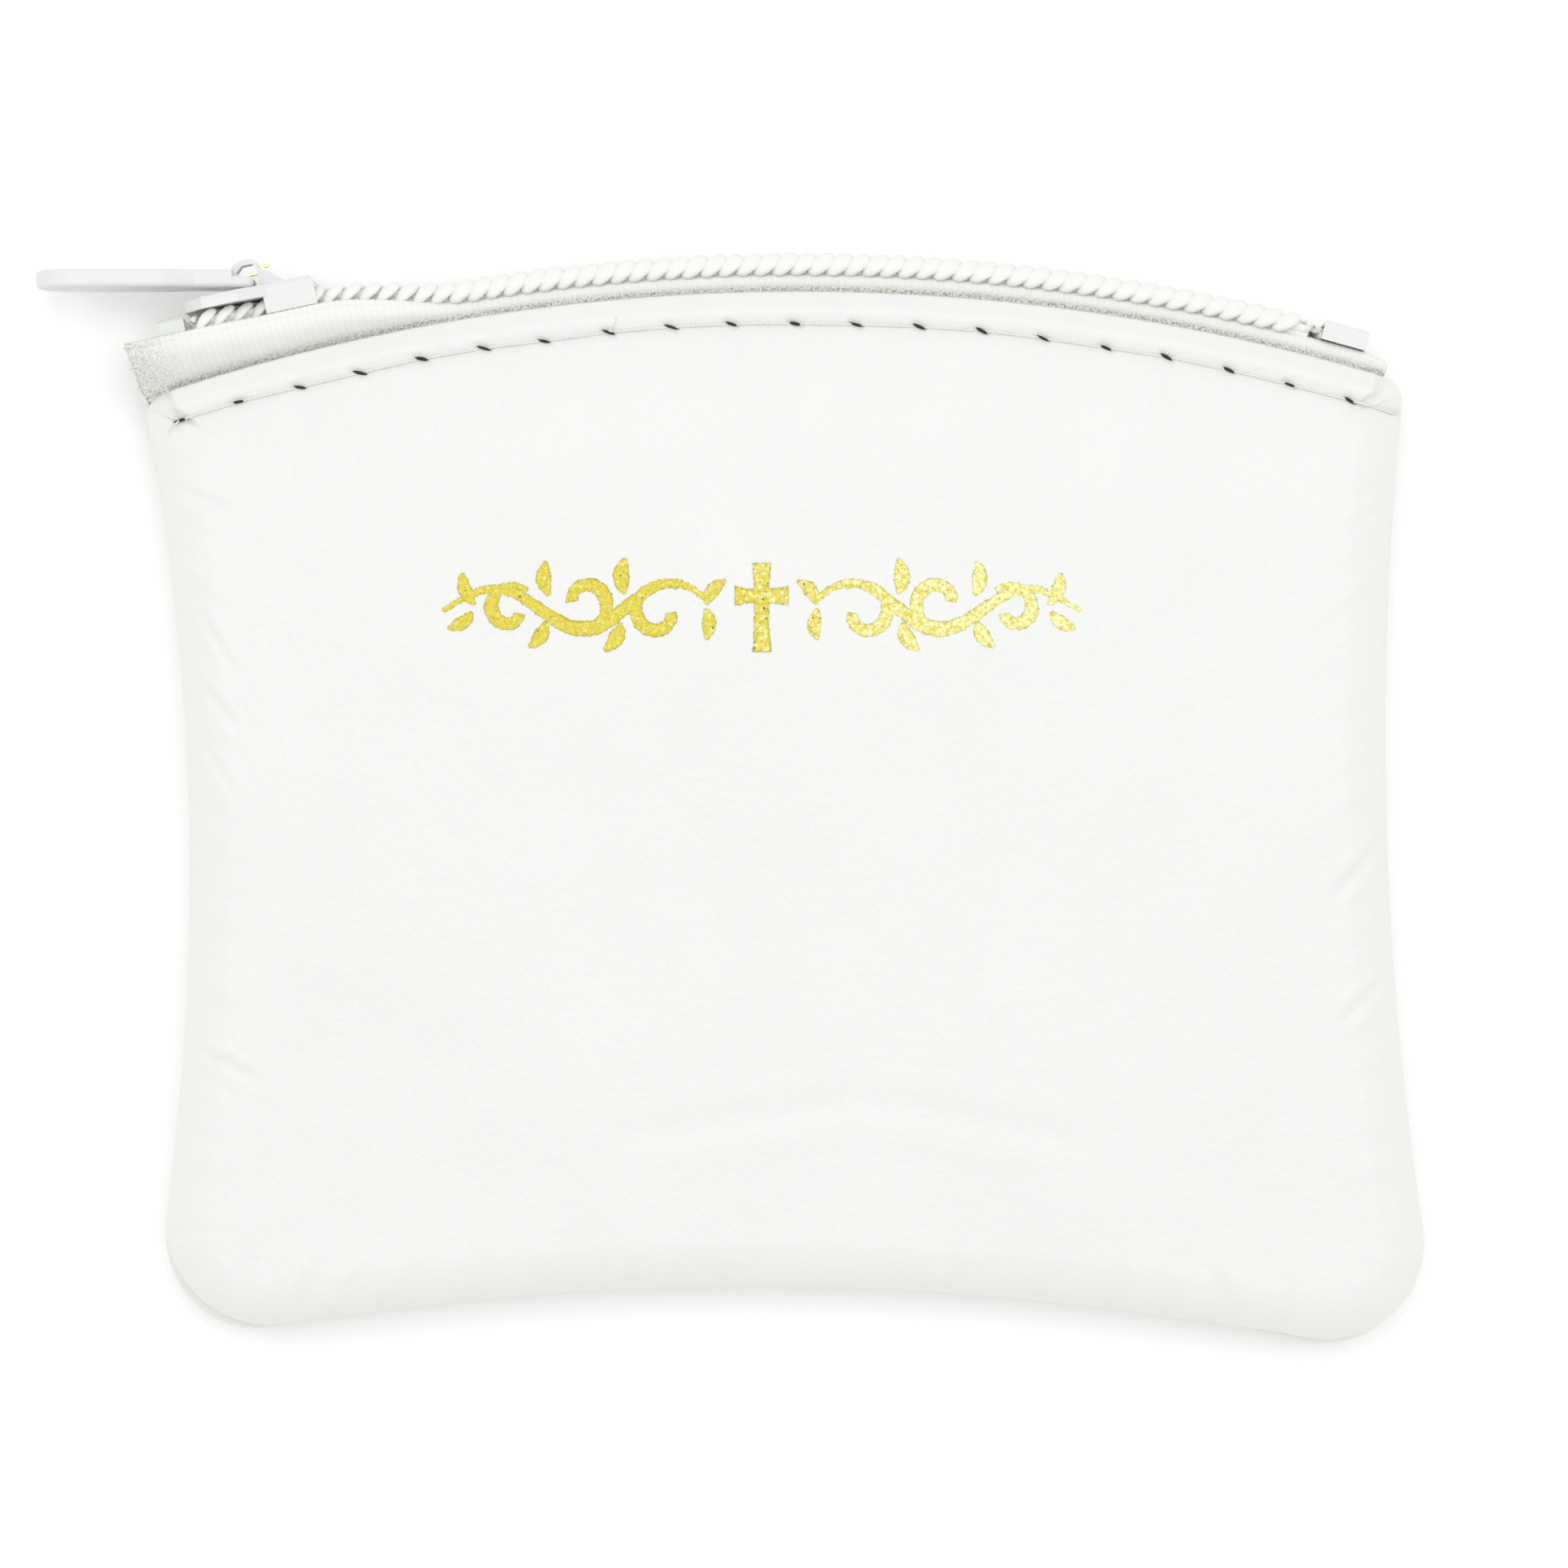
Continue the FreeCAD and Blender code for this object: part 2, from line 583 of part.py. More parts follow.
def zip_side(end, side, panel_shapes):
    """Tape, coil, filler cord and chain stitching of one half of the zip."""
    tape = on_side(tape_loft(), side)
    tape = tape.cut(on_side(mouth_slits(), side))
    for panel in panel_shapes:
        tape = tape.cut(panel)
    tape = max(tape.Solids, key=lambda solid: solid.Volume)
    shape_feature("zip_tape_" + end, tape)

    shift = 0.1 if side == FRONT else 0.1 + size("coil_pitch") / 2.0
    tall = size("coil_tall")
    near = size("cord_near")
    cord_low = (tall - size("cord_tall")) / 2.0
    coil = chain_ribbon(CLEAR, tall).common(seen_from_above(coil_points(shift)))
    left = size("coil_left")
    right = size("coil_right")
    tunnel_points = strip_points(near - CLEAR, near + size("cord_wide") + CLEAR, left - 1, right + 1)
    tunnel = chain_ribbon(cord_low - CLEAR, cord_low + size("cord_tall") + CLEAR)
    coil = coil.cut(tunnel.common(seen_from_above(tunnel_points)))
    shape_feature("zip_coil_" + end, on_side(coil, side))

    cord_points = strip_points(near, near + size("cord_wide"), left, right)
    cord = chain_ribbon(cord_low, cord_low + size("cord_tall")).common(seen_from_above(cord_points))
    shape_feature("coil_cord_" + end, on_side(cord, side))

    near = size("chain_stitch_near")
    stitch_points = strip_points(near, near + size("chain_stitch_wide"), left, right - size("box_long") / 2.0)
    ribbon = chain_ribbon(tall + CLEAR, tall + size("chain_stitch_tall"))
    shape_feature("coil_stitching_" + end, on_side(ribbon.common(seen_from_above(stitch_points)), side))


# ---------------------------------------------------------------- sketch tools


def new_body(node):
    """Empty PartDesign body of a sub-part."""
    body = doc.addObject("PartDesign::Body", node)
    return keep(node, body)


def origin_plane(body, role):
    """One of the body's own origin planes."""
    return [feature for feature in body.Origin.OriginFeatures if feature.Role == role][0]


def bind_point(sketch, geometry, corner):
    """Hold the start point of a line at a place given by two expressions."""
    for kind, axis, expression in (("DistanceX", -2, corner[0]), ("DistanceY", -1, corner[1])):
        if expression == "0":
            sketch.addConstraint(Sketcher.Constraint("PointOnObject", geometry, 1, axis))
            continue
        value = float(sheet.evalExpression(expression))
        index = sketch.addConstraint(Sketcher.Constraint(kind, -1, 1, geometry, 1, value))
        sketch.setExpression("Constraints[%d]" % index, expression)


def polygon_sketch(body, name, polygons, offset, plane):
    """Sketch of closed polygons whose corners are pairs of sheet expressions."""
    sketch = body.newObject("Sketcher::SketchObject", name)
    sketch.AttachmentSupport = [(origin_plane(body, plane), "")]
    sketch.MapMode = "FlatFace"
    sketch.setExpression("AttachmentOffset.Base.z", offset)
    for corners in polygons:
        places = [Vector(*[float(sheet.evalExpression(part)) for part in corner], 0) for corner in corners]
        first = sketch.GeometryCount
        count = len(places)
        for index in range(count):
            sketch.addGeometry(Part.LineSegment(places[index], places[(index + 1) % count]))
        for index in range(count):
            following = first + (index + 1) % count
            sketch.addConstraint(Sketcher.Constraint("Coincident", first + index, 2, following, 1))
        for index, corner in enumerate(corners):
            bind_point(sketch, first + index, corner)
    return sketch


def add_pad(body, name, polygons, length, offset="0", plane="XY_Plane", both_ways=False):
    """Pad of closed polygons from a plane moved out by offset."""
    sketch = polygon_sketch(body, name + "_sketch", polygons, offset, plane)
    pad = body.newObject("PartDesign::Pad", name)
    pad.Profile = sketch
    pad.setExpression("Length", length)
    pad.Midplane = both_ways
    doc.recompute()
    return pad


def add_pocket(body, name, polygons, length, offset):
    """Pocket down into the body from a plane above it, checked by volume."""
    before = body.Shape.Volume
    sketch = polygon_sketch(body, name + "_sketch", polygons, offset, "XY_Plane")
    pocket = body.newObject("PartDesign::Pocket", name)
    pocket.Profile = sketch
    pocket.setExpression("Length", length)
    doc.recompute()
    assert body.Shape.Volume < before - 1e-4, name + " removes nothing"
    return pocket


def round_edges(body, name, radius, wanted):
    """PartDesign fillet of the edges of the body's tip that wanted accepts."""
    tip = body.Tip
    names = ["Edge%d" % number for number, edge in enumerate(tip.Shape.Edges, 1) if wanted(edge)]
    fillet = body.newObject("PartDesign::Fillet", name)
    fillet.Base = (tip, names)
    fillet.setExpression("Radius", radius)
    doc.recompute()
    return fillet


def rectangle(x_low, x_high, y_low, y_high):
    """Corners of a rectangle from four expressions."""
    return [(x_low, y_low), (x_high, y_low), (x_high, y_high), (x_low, y_high)]


# ---------------------------------------------------------------- slider
#
# The slider's pieces are drawn lying flat: X along the slider with the wide end at -X, Y across
# it and Z away from the pouch, from the underside of the top plate.

SLIDER_TURN = Rotation(Vector(0, 0, 1), size("slider_tilt")) * Rotation(Vector(1, 0, 0), -90)
SLIDER_PLACE = Placement(Vector(size("slider_x"), size("slider_y"), MID), SLIDER_TURN)


def make_slider_body():
    """Top plate with flanges and bottom plate, joined by the wedge between them."""
    body = new_body("slider_body")
    half = "Sizes.slider_half_long"
    wide = "Sizes.slider_front_half"
    narrow = "Sizes.slider_rear_half"
    chamfer = "Sizes.plate_chamfer"
    plate = [
        ("-%s" % half, "-%s + %s" % (wide, chamfer)),
        ("-%s + %s" % (half, chamfer), "-%s" % wide),
        ("-Sizes.waist_front", "-%s" % wide),
        ("Sizes.waist_rear", "-%s" % narrow),
        (half, "-%s" % narrow),
        (half, narrow),
        ("Sizes.waist_rear", narrow),
        ("-Sizes.waist_front", wide),
        ("-%s + %s" % (half, chamfer), wide),
        ("-%s" % half, "%s - %s" % (wide, chamfer)),
    ]
    add_pad(body, "top_plate", [plate], "Sizes.plate_thick")
    flanges = []
    for sign in ("", "-"):
        flanges.append([
            ("Sizes.flange_start", sign + "Sizes.channel_half"),
            (half, sign + "Sizes.channel_half"),
            (half, sign + "Sizes.slider_rear_half"),
            ("Sizes.flange_start", sign + "Sizes.slider_rear_half"),
        ])
    add_pad(body, "flanges", flanges, "Sizes.flange_drop + 0.2", "-Sizes.flange_drop")
    wedge = [
        ("-%s + 0.4" % half, "-Sizes.wedge_half"),
        ("-Sizes.wedge_full", "-Sizes.wedge_half"),
        ("-Sizes.wedge_tip", "0"),
        ("-Sizes.wedge_full", "Sizes.wedge_half"),
        ("-%s + 0.4" % half, "Sizes.wedge_half"),
    ]
    add_pad(body, "wedge", [wedge], "Sizes.foot_drop + 0.2", "-Sizes.foot_drop - 0.1")
    foot = rectangle("-%s + 0.3" % half, "%s - 0.3" % half, "-Sizes.foot_half", "Sizes.foot_half")
    add_pad(body, "bottom_plate", [foot], "Sizes.foot_thick", "-Sizes.foot_drop - Sizes.foot_thick")
    pin_front = "Sizes.pin_at - 0.15"
    pin_rear = "Sizes.pin_at + Sizes.pin_thick + 0.15"
    pin_hole = rectangle(pin_front, pin_rear, "-Sizes.pin_half - 0.12", "Sizes.pin_half + 0.12")
    add_pocket(body, "pin_hole", [pin_hole], "Sizes.plate_thick + 0.2", "Sizes.plate_thick + 0.1")
    top = size("plate_thick")
    round_edges(body, "plate_rounding", "Sizes.plate_thick * 0.45", lambda edge: outer_edge_at(edge, top))
    body.Placement = SLIDER_PLACE


def outer_edge_at(edge, height):
    """True for an edge at this height that runs round the outside of the slider's plate."""
    box = edge.BoundBox
    inside = abs(box.Center.x) < 2.0 and abs(box.Center.y) < 1.5
    return abs(box.ZMin - height) < 1e-6 and abs(box.ZMax - height) < 1e-6 and not inside


def make_slider_crown():
    """Hood over the crossbar with a slope behind it, slotted for the lock pin."""
    body = new_body("slider_crown")
    front = "Sizes.crown_front"
    hood = "Sizes.crown_hood"
    rear = "Sizes.crown_rear"
    base = "Sizes.plate_thick"
    top = "Sizes.crown_top"
    wall = "Sizes.crown_thick"
    outline = [
        (front, base),
        (front, top + " - 0.7"),
        (front + " + 0.25", top + " - 0.25"),
        (front + " + 0.8", top),
        (hood + " - 0.37", top),
        (hood + " - 0.17", top + " - 0.2"),
        (hood, "Sizes.crown_ridge + 0.1"),
        (hood + " + 0.38", "Sizes.crown_ridge - 0.1"),
        (rear, base + " + 0.2"),
        (rear, base),
        (hood + " - 0.2", base),
        (hood + " - 0.2", "Sizes.crown_ridge"),
        (hood + " - 0.42", top + " - " + wall),
        (front + " + 0.85", top + " - " + wall),
        (front + " + " + wall + " + 0.1", top + " - " + wall + " - 0.35"),
        (front + " + " + wall, base),
    ]
    add_pad(body, "hood", [outline], "Sizes.crown_half * 2", "0", "XZ_Plane", True)
    slot_front = hood + " - 0.3"
    slot_rear = "Sizes.pin_at + Sizes.pin_thick + 0.1"
    slot = rectangle(slot_front, slot_rear, "-Sizes.pin_half - 0.12", "Sizes.pin_half + 0.12")
    add_pocket(body, "pin_slot", [slot], "Sizes.pin_top", "Sizes.pin_top")
    body.Placement = SLIDER_PLACE


def make_lock_pin():
    """Brass strip over the crossbar whose tip drops through the top plate to lock the slider."""
    body = new_body("lock_pin")
    leaf = "Sizes.pivot_rise + Sizes.crossbar_radius + 0.04"
    outline = [
        ("-0.45", leaf),
        ("Sizes.pin_at", leaf),
        ("Sizes.pin_at", "-0.05"),
        ("Sizes.pin_at + Sizes.pin_thick", "-0.05"),
        ("Sizes.pin_at + Sizes.pin_thick", "Sizes.pin_top - Sizes.pin_thick"),
        ("Sizes.pin_reach", "Sizes.pin_top - Sizes.pin_thick"),
        ("Sizes.pin_reach", "Sizes.pin_top"),
        ("Sizes.pin_at", "Sizes.pin_top"),
        ("Sizes.pin_at", leaf + " + Sizes.leaf_thick"),
        ("-0.45", leaf + " + Sizes.leaf_thick"),
    ]
    add_pad(body, "strip", [outline], "Sizes.pin_half * 2", "0", "XZ_Plane", True)
    body.Placement = SLIDER_PLACE


def make_pull_tab():
    """Pull tab with its eye and the round crossbar that turns under the crown."""
    body = new_body("pull_tab")
    thick = "Sizes.tab_over + Sizes.tab_under"
    outline = [
        ("Sizes.tab_heel", "-Sizes.tab_root_half"),
        ("Sizes.tab_eye_end + 1.0", "-Sizes.tab_root_half"),
        ("Sizes.tab_eye_end + 3.0", "-Sizes.tab_half"),
        ("Sizes.tab_long", "-Sizes.tab_half"),
        ("Sizes.tab_long", "Sizes.tab_half"),
        ("Sizes.tab_eye_end + 3.0", "Sizes.tab_half"),
        ("Sizes.tab_eye_end + 1.0", "Sizes.tab_root_half"),
        ("Sizes.tab_heel", "Sizes.tab_root_half"),
        ("Sizes.tab_heel", "Sizes.tab_eye_half"),
        ("Sizes.tab_eye_end", "Sizes.tab_eye_half"),
        ("Sizes.tab_eye_end", "-Sizes.tab_eye_half"),
        ("Sizes.tab_heel", "-Sizes.tab_eye_half"),
    ]
    add_pad(body, "plate", [outline], thick, "-Sizes.tab_under")
    heels = [
        rectangle("0", "Sizes.tab_heel + 0.2", "-Sizes.tab_root_half", "-Sizes.tab_eye_half"),
        rectangle("0", "Sizes.tab_heel + 0.2", "Sizes.tab_eye_half", "Sizes.tab_root_half"),
    ]
    add_pad(body, "heels", heels, "Sizes.tab_under * 2", "-Sizes.tab_under")
    bar = body.newObject("Sketcher::SketchObject", "crossbar_sketch")
    bar.AttachmentSupport = [(origin_plane(body, "XZ_Plane"), "")]
    bar.MapMode = "FlatFace"
    bar.addGeometry(Part.Circle(Vector(0, 0, 0), Vector(0, 0, 1), size("crossbar_radius")))
    bar.addConstraint(Sketcher.Constraint("Coincident", 0, 3, -1, 1))
    index = bar.addConstraint(Sketcher.Constraint("Radius", 0, size("crossbar_radius")))
    bar.setExpression("Constraints[%d]" % index, "Sizes.crossbar_radius")
    crossbar = body.newObject("PartDesign::Pad", "crossbar")
    crossbar.Profile = bar
    crossbar.setExpression("Length", "Sizes.tab_root_half * 2")
    crossbar.Midplane = True
    doc.recompute()
    far = size("tab_long") - 0.01
    round_edges(body, "tip", "Sizes.tab_half * 0.9", lambda e: is_upright(e) and e.BoundBox.XMin > far)
    over = size("tab_over")
    under = -size("tab_under")

    def rim(edge):
        box = edge.BoundBox
        flat = abs(box.ZMin - box.ZMax) < 1e-6
        on_face = abs(box.ZMin - over) < 1e-6 or abs(box.ZMin - under) < 1e-6
        return flat and on_face and box.XMax > size("tab_eye_end") + 0.1

    round_edges(body, "rim_rounding", "Sizes.tab_under * 0.8", rim)
    up = SLIDER_TURN.multVec(Vector(0, 0, 1))
    pivot = SLIDER_PLACE.Base + up * size("pivot_rise")
    leftward = Rotation(Vector(0, 0, 1), -size("tab_rest")) * SLIDER_TURN * Rotation(Vector(0, 0, 1), 180)
    body.Placement = Placement(pivot, leftward)


# ---------------------------------------------------------------- stops


def make_top_stops():
    """Small moulded stop over each coil's end, in front of the slider."""
    for end, side in (("front", FRONT), ("back", BACK)):
        body = new_body("top_stop_" + end)
        low = "-Sizes.slider_half_long - 0.2 - Sizes.stop_long"
        high = "-Sizes.slider_half_long - 0.2"
        sign = "-" if side == FRONT else ""
        near = sign + "(Sizes.parting + 0.3)"
        far = sign + "(Sizes.parting + Sizes.coil_half)"
        block = rectangle(low, high, near, far)
        add_pad(body, "block", [block], "Sizes.coil_tall + 0.1", "-Sizes.seat_drop + Sizes.clearance")
        top = size("coil_tall") + 0.1 - size("seat_drop") + CLEAR
        round_edges(body, "rounding", "0.25", lambda e: abs(e.BoundBox.ZMin - top) < 1e-6)
        body.Placement = SLIDER_PLACE


def make_bottom_stop():
    """Box stop clamped over both coils at the end of the slider's travel."""
    body = new_body("bottom_stop")
    half = "Sizes.box_long / 2"
    block = rectangle("-" + half, half, "-Sizes.box_half", "Sizes.box_half")
    add_pad(body, "block", [block], "Sizes.box_tall")
    side = "Sizes.coil_half + 0.1"
    coil_room = rectangle("-%s - 0.1" % half, "-%s + 1.1" % half, "-" + side.replace("+", "-"), side)
    add_pocket(body, "coil_room", [coil_room], "Sizes.coil_tall + 0.12", "Sizes.coil_tall + 0.07")
    top = size("box_tall")
    round_edges(body, "rounding", "0.15", lambda e: abs(e.BoundBox.ZMin - top) < 1e-6)
    angle = size("box_angle")
    turn = Rotation(Vector(0, 0, 1), -angle) * Rotation(Vector(1, 0, 0), -90)
    body.Placement = Placement(polar(angle, size("seat_radius") + CLEAR, MID), turn)


# ---------------------------------------------------------------- ornament


def half_ring(centre, first_angle):
    """Half a ring of the foil's stroke about a centre, starting at an angle."""
    thick = size("foil_thick")
    radius = size("foil_wave")
    stroke = size("foil_stroke") / 2.0
    outer = Part.makeCylinder(radius + stroke, thick, Vector(), Vector(0, 0, 1), 180)
    inner = Part.makeCylinder(radius - stroke, thick, Vector(), Vector(0, 0, 1), 180)
    ring = outer.cut(inner)
    ring.rotate(Vector(), Vector(0, 0, 1), first_angle)
    ring.translate(centre)
    return ring


def make_foil():
    """Plain wave scrolls either side of a small cross, pressed on the front panel in foil."""
    stroke = size("foil_stroke")
    radius = size("foil_wave")
    level = size("total_thick") + 0.01
    thick = size("foil_thick")
    middle = Vector(size("foil_x"), size("foil_y"), level)
    pieces = []
    for sign in (-1, 1):
        rings = []
        for index in range(4):
            offset = sign * (size("foil_gap") + radius + 2.0 * radius * index)
            rings.append(half_ring(middle + Vector(offset, 0, 0), 0 if index % 2 == 0 else 180))
        pieces.append(rings[0].multiFuse(rings[1:]).removeSplitter())
    arm = size("cross_arm")
    tall = size("cross_tall")
    upright = Part.makeBox(stroke, tall, thick, middle + Vector(-stroke / 2.0, -tall / 2.0, 0))
    arm_at = middle + Vector(-arm - stroke / 2.0, size("cross_arm_rise"), 0)
    across = Part.makeBox(2.0 * arm + stroke, stroke, thick, arm_at)
    pieces.append(upright.fuse(across).removeSplitter())
    shape_feature("foil_ornament", Part.makeCompound(pieces))


# ---------------------------------------------------------------- build and write


def build():
    """Make every sub-part of the pouch."""
    sewn_panels()
    doc.recompute()
    panels = [NODES["front_panel"].Shape, NODES["back_panel"].Shape]
    zip_side("front", FRONT, panels)
    zip_side("back", BACK, panels)
    make_slider_body()
    make_slider_crown()
    make_lock_pin()
    make_pull_tab()
    make_top_stops()
    make_bottom_stop()
    make_foil()
    doc.recompute()


def check_and_write():
    """Refuse any failed object or invalid shape, then write one STEP file per sub-part."""
    for feature in doc.Objects:
        bad = [state for state in feature.State if state in ("Invalid", "Error")]
        assert not bad, "%s is %s" % (feature.Name, bad)
    for node, feature in NODES.items():
        shape = feature.Shape
        assert not shape.isNull(), node + " has no shape"
        assert shape.isValid(), node + " is not valid"
        assert shape.Solids, node + " holds no solid"
    os.makedirs("parts", exist_ok=True)
    for node, feature in NODES.items():
        feature.Shape.exportStep("parts/%s.step" % node)
        box = feature.Shape.BoundBox
        print("%-24s solids %3d volume %9.2f  x %7.2f %7.2f  y %7.2f %7.2f  z %6.2f %6.2f" % (
            node, len(feature.Shape.Solids), feature.Shape.Volume,
            box.XMin, box.XMax, box.YMin, box.YMax, box.ZMin, box.ZMax))


build()
check_and_write()
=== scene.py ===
import math

import bpy
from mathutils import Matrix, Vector
import numpy as np


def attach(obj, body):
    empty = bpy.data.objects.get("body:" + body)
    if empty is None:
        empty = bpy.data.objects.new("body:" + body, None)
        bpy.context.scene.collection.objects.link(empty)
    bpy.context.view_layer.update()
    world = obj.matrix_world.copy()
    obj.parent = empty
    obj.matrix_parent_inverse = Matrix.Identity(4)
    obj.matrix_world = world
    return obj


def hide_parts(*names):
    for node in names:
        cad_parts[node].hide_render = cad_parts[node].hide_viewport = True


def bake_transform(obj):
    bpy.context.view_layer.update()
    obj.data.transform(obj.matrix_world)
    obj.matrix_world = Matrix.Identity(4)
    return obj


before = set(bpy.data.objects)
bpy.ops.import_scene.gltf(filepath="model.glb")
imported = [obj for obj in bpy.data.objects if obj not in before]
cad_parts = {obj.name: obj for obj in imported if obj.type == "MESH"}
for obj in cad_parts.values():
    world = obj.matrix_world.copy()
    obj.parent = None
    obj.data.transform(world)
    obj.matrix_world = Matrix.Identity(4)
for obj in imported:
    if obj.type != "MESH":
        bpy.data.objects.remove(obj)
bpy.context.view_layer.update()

# Zipped leather rosary pouch lying on its back. Sizes are in millimetres in the part's own frame
# and are turned into metres where a mesh is made.

MM = 0.001

# ---------- sizes of the pouch

MID = 4.5
TOP = 9.0
LEATHER = 1.0
EDGE_ROUND = 3.2
CORNER_ROUND = 6.5
MOUTH_CORNER = 1.6
ZIP_CENTRE = np.array([0.4, -101.4])
MOUTH_RADIUS = 134.2
LIP_GAP = 2.15
LIP_SLOPE = 0.1875
LIP_RISE = LEATHER * math.hypot(1.0, LIP_SLOPE)
LEFT_CENTRE, LEFT_RADIUS = np.array([-199.3, -5.5]), 159.6
RIGHT_CENTRE, RIGHT_RADIUS = np.array([252.5, 3.7]), 213.6
BOTTOM_CENTRE, BOTTOM_RADIUS = np.array([-2.6, -219.3]), 186.8
TAPE_DEPTH = 5.7
STITCH_RADIUS = 132.0
STITCH_FIRST, STITCH_STEP, STITCH_COUNT = -17.9, 1.775, 20
STITCH_LAST = STITCH_FIRST + STITCH_STEP * STITCH_COUNT
SLIT_FIRST_SLANT, SLIT_SLANT, SLIT_SLANT_STEP = 16.0, -5.0, -1.3
SLIT_LONG, SLIT_WIDE, SLIT_DEEP, SLIT_SIDES = 0.50, 0.20, 0.30, 20
SEAT_RADIUS = 135.45
COIL_PITCH = 1.18
TAPE_LEFT, TAPE_RIGHT = -18.6, 16.6
SLIDER = np.array([-35.65, 32.22])
SLIDER_TILT = 12.0
SEAT_DROP = 1.2
SLIDER_HALF = 4.3
PARTING = 1.3

# ---------- small maths


def smooth(step):
    """Smooth rise from 0 to 1."""
    step = np.clip(step, 0.0, 1.0)
    return step * step * (3.0 - 2.0 * step)


def bell(away, width):
    """Smooth bump of height 1, falling off over width on both sides."""
    return np.exp(-((away / width) ** 2))


def units(vectors):
    """The same vectors with length 1."""
    return vectors / np.linalg.norm(vectors, axis=1)[:, None]


def pairs(first, second):
    """Points from their two coordinates."""
    return np.stack([first, second], axis=-1)


def run_of(line):
    """Distance along a line at each of its points."""
    return np.concatenate([[0.0], np.cumsum(np.hypot(*np.diff(line, axis=0).T))])


def at_runs(line, run, samples):
    """Points of a line at distances along it."""
    return pairs(np.interp(samples, run, line[:, 0]), np.interp(samples, run, line[:, 1]))


def raised(flat, height):
    """Points of the plane at their heights."""
    return np.concatenate([flat, np.asarray(height)[..., None]], axis=-1)


def polar(angle, radius):
    """Points at angles in degrees from +Y about the centre of the mouth arc."""
    turn = np.radians(angle)
    return pairs(ZIP_CENTRE[0] + radius * np.sin(turn), ZIP_CENTRE[1] + radius * np.cos(turn))


def reach(points, centre):
    """Distance of each point from a centre, in the plane of the pouch."""
    return np.hypot(points[..., 0] - centre[0], points[..., 1] - centre[1])


def mouth_angle(points):
    """Angle of each point about the centre of the mouth arc, degrees from +Y."""
    return np.degrees(np.arctan2(points[..., 0] - ZIP_CENTRE[0], points[..., 1] - ZIP_CENTRE[1]))


TILT = math.radians(SLIDER_TILT)
SLIDER_UP = np.array([-math.sin(TILT), math.cos(TILT)])
SEAT_POINT = SLIDER - SLIDER_UP * SEAT_DROP
SLIDER_ANGLE = float(mouth_angle(SEAT_POINT))
SLIDER_SEAT = float(reach(SEAT_POINT, ZIP_CENTRE))
REAR_ANGLE = SLIDER_ANGLE + math.degrees(SLIDER_HALF / SLIDER_SEAT)
SETTLE_ANGLE = 4.2


def lifted(angle):
    """1 where the chain runs inside the slider, falling to 0 where it lies on its own arc."""
    return smooth(1.0 - (angle - REAR_ANGLE) / SETTLE_ANGLE)


def seat(angle):
    """Radius of the coils' seat, which rises to the slider's straight channel."""
    lean = math.radians(SLIDER_TILT + SLIDER_ANGLE)
    channel = SLIDER_SEAT * math.cos(lean) / np.cos(np.radians(angle - SLIDER_ANGLE) + lean)
    return SEAT_RADIUS + (channel - SEAT_RADIUS) * lifted(angle)


def parted(x):
    """How far the slider's wedge has moved each coil from the mid-plane at x."""
    return PARTING * smooth((0.9 - (x - SEAT_POINT[0]) / math.cos(TILT)) / 3.9)


def hash_noise(points, scale, seed):
    """Smooth noise from -1 to 1 made of crossed waves, the same on every run."""
    rng = np.random.default_rng(seed)
    total = np.zeros(points.shape[:-1])
    for _ in range(7):
        direction = rng.uniform(0, 2 * math.pi)
        length = scale * rng.uniform(0.6, 1.7)
        phase = rng.uniform(0, 2 * math.pi)
        along = points[..., 0] * math.cos(direction) + points[..., 1] * math.sin(direction)
        total += np.sin(2 * math.pi * along / length + phase)
    return total / 4.0


# ---------- mesh tools


def placed(name, data, place=(0, 0, 0)):
    """New object in the scene."""
    thing = bpy.data.objects.new(name, data)
    thing.location = place
    bpy.context.scene.collection.objects.link(thing)
    return thing


def new_object(name, vertices, faces, material, slot_name, marks=None):
    """Smooth-shaded mesh object from millimetre vertices; marks are numbers for each vertex."""
    mesh = bpy.data.meshes.new(name)
    mesh.from_pydata((np.asarray(vertices, float) * MM).tolist(), [], faces)
    mesh.polygons.foreach_set("use_smooth", [True] * len(mesh.polygons))
    mesh.materials.append(material)
    for key, values in (marks or {}).items():
        attribute = mesh.attributes.new(key, "FLOAT", "POINT")
        attribute.data.foreach_set("value", values.ravel().astype(np.float32))
    piece = placed(name, mesh)
    return piece


def grid_faces(rows, columns, first=0, closed_rows=False, closed_columns=False, flip=False):
    """Quads of a grid of rows by columns vertices."""
    last_row = rows if closed_rows else rows - 1
    last_column = columns if closed_columns else columns - 1
    row, column = np.meshgrid(np.arange(last_row), np.arange(last_column), indexing="ij")
    row, column = row.ravel(), column.ravel()
    next_row = (row + 1) % rows
    next_column = (column + 1) % columns
    corners = [row * columns + column, row * columns + next_column]
    corners += [next_row * columns + next_column, next_row * columns + column]
    faces = np.stack(corners, axis=1) + first
    return (faces[:, ::-1] if flip else faces).tolist()


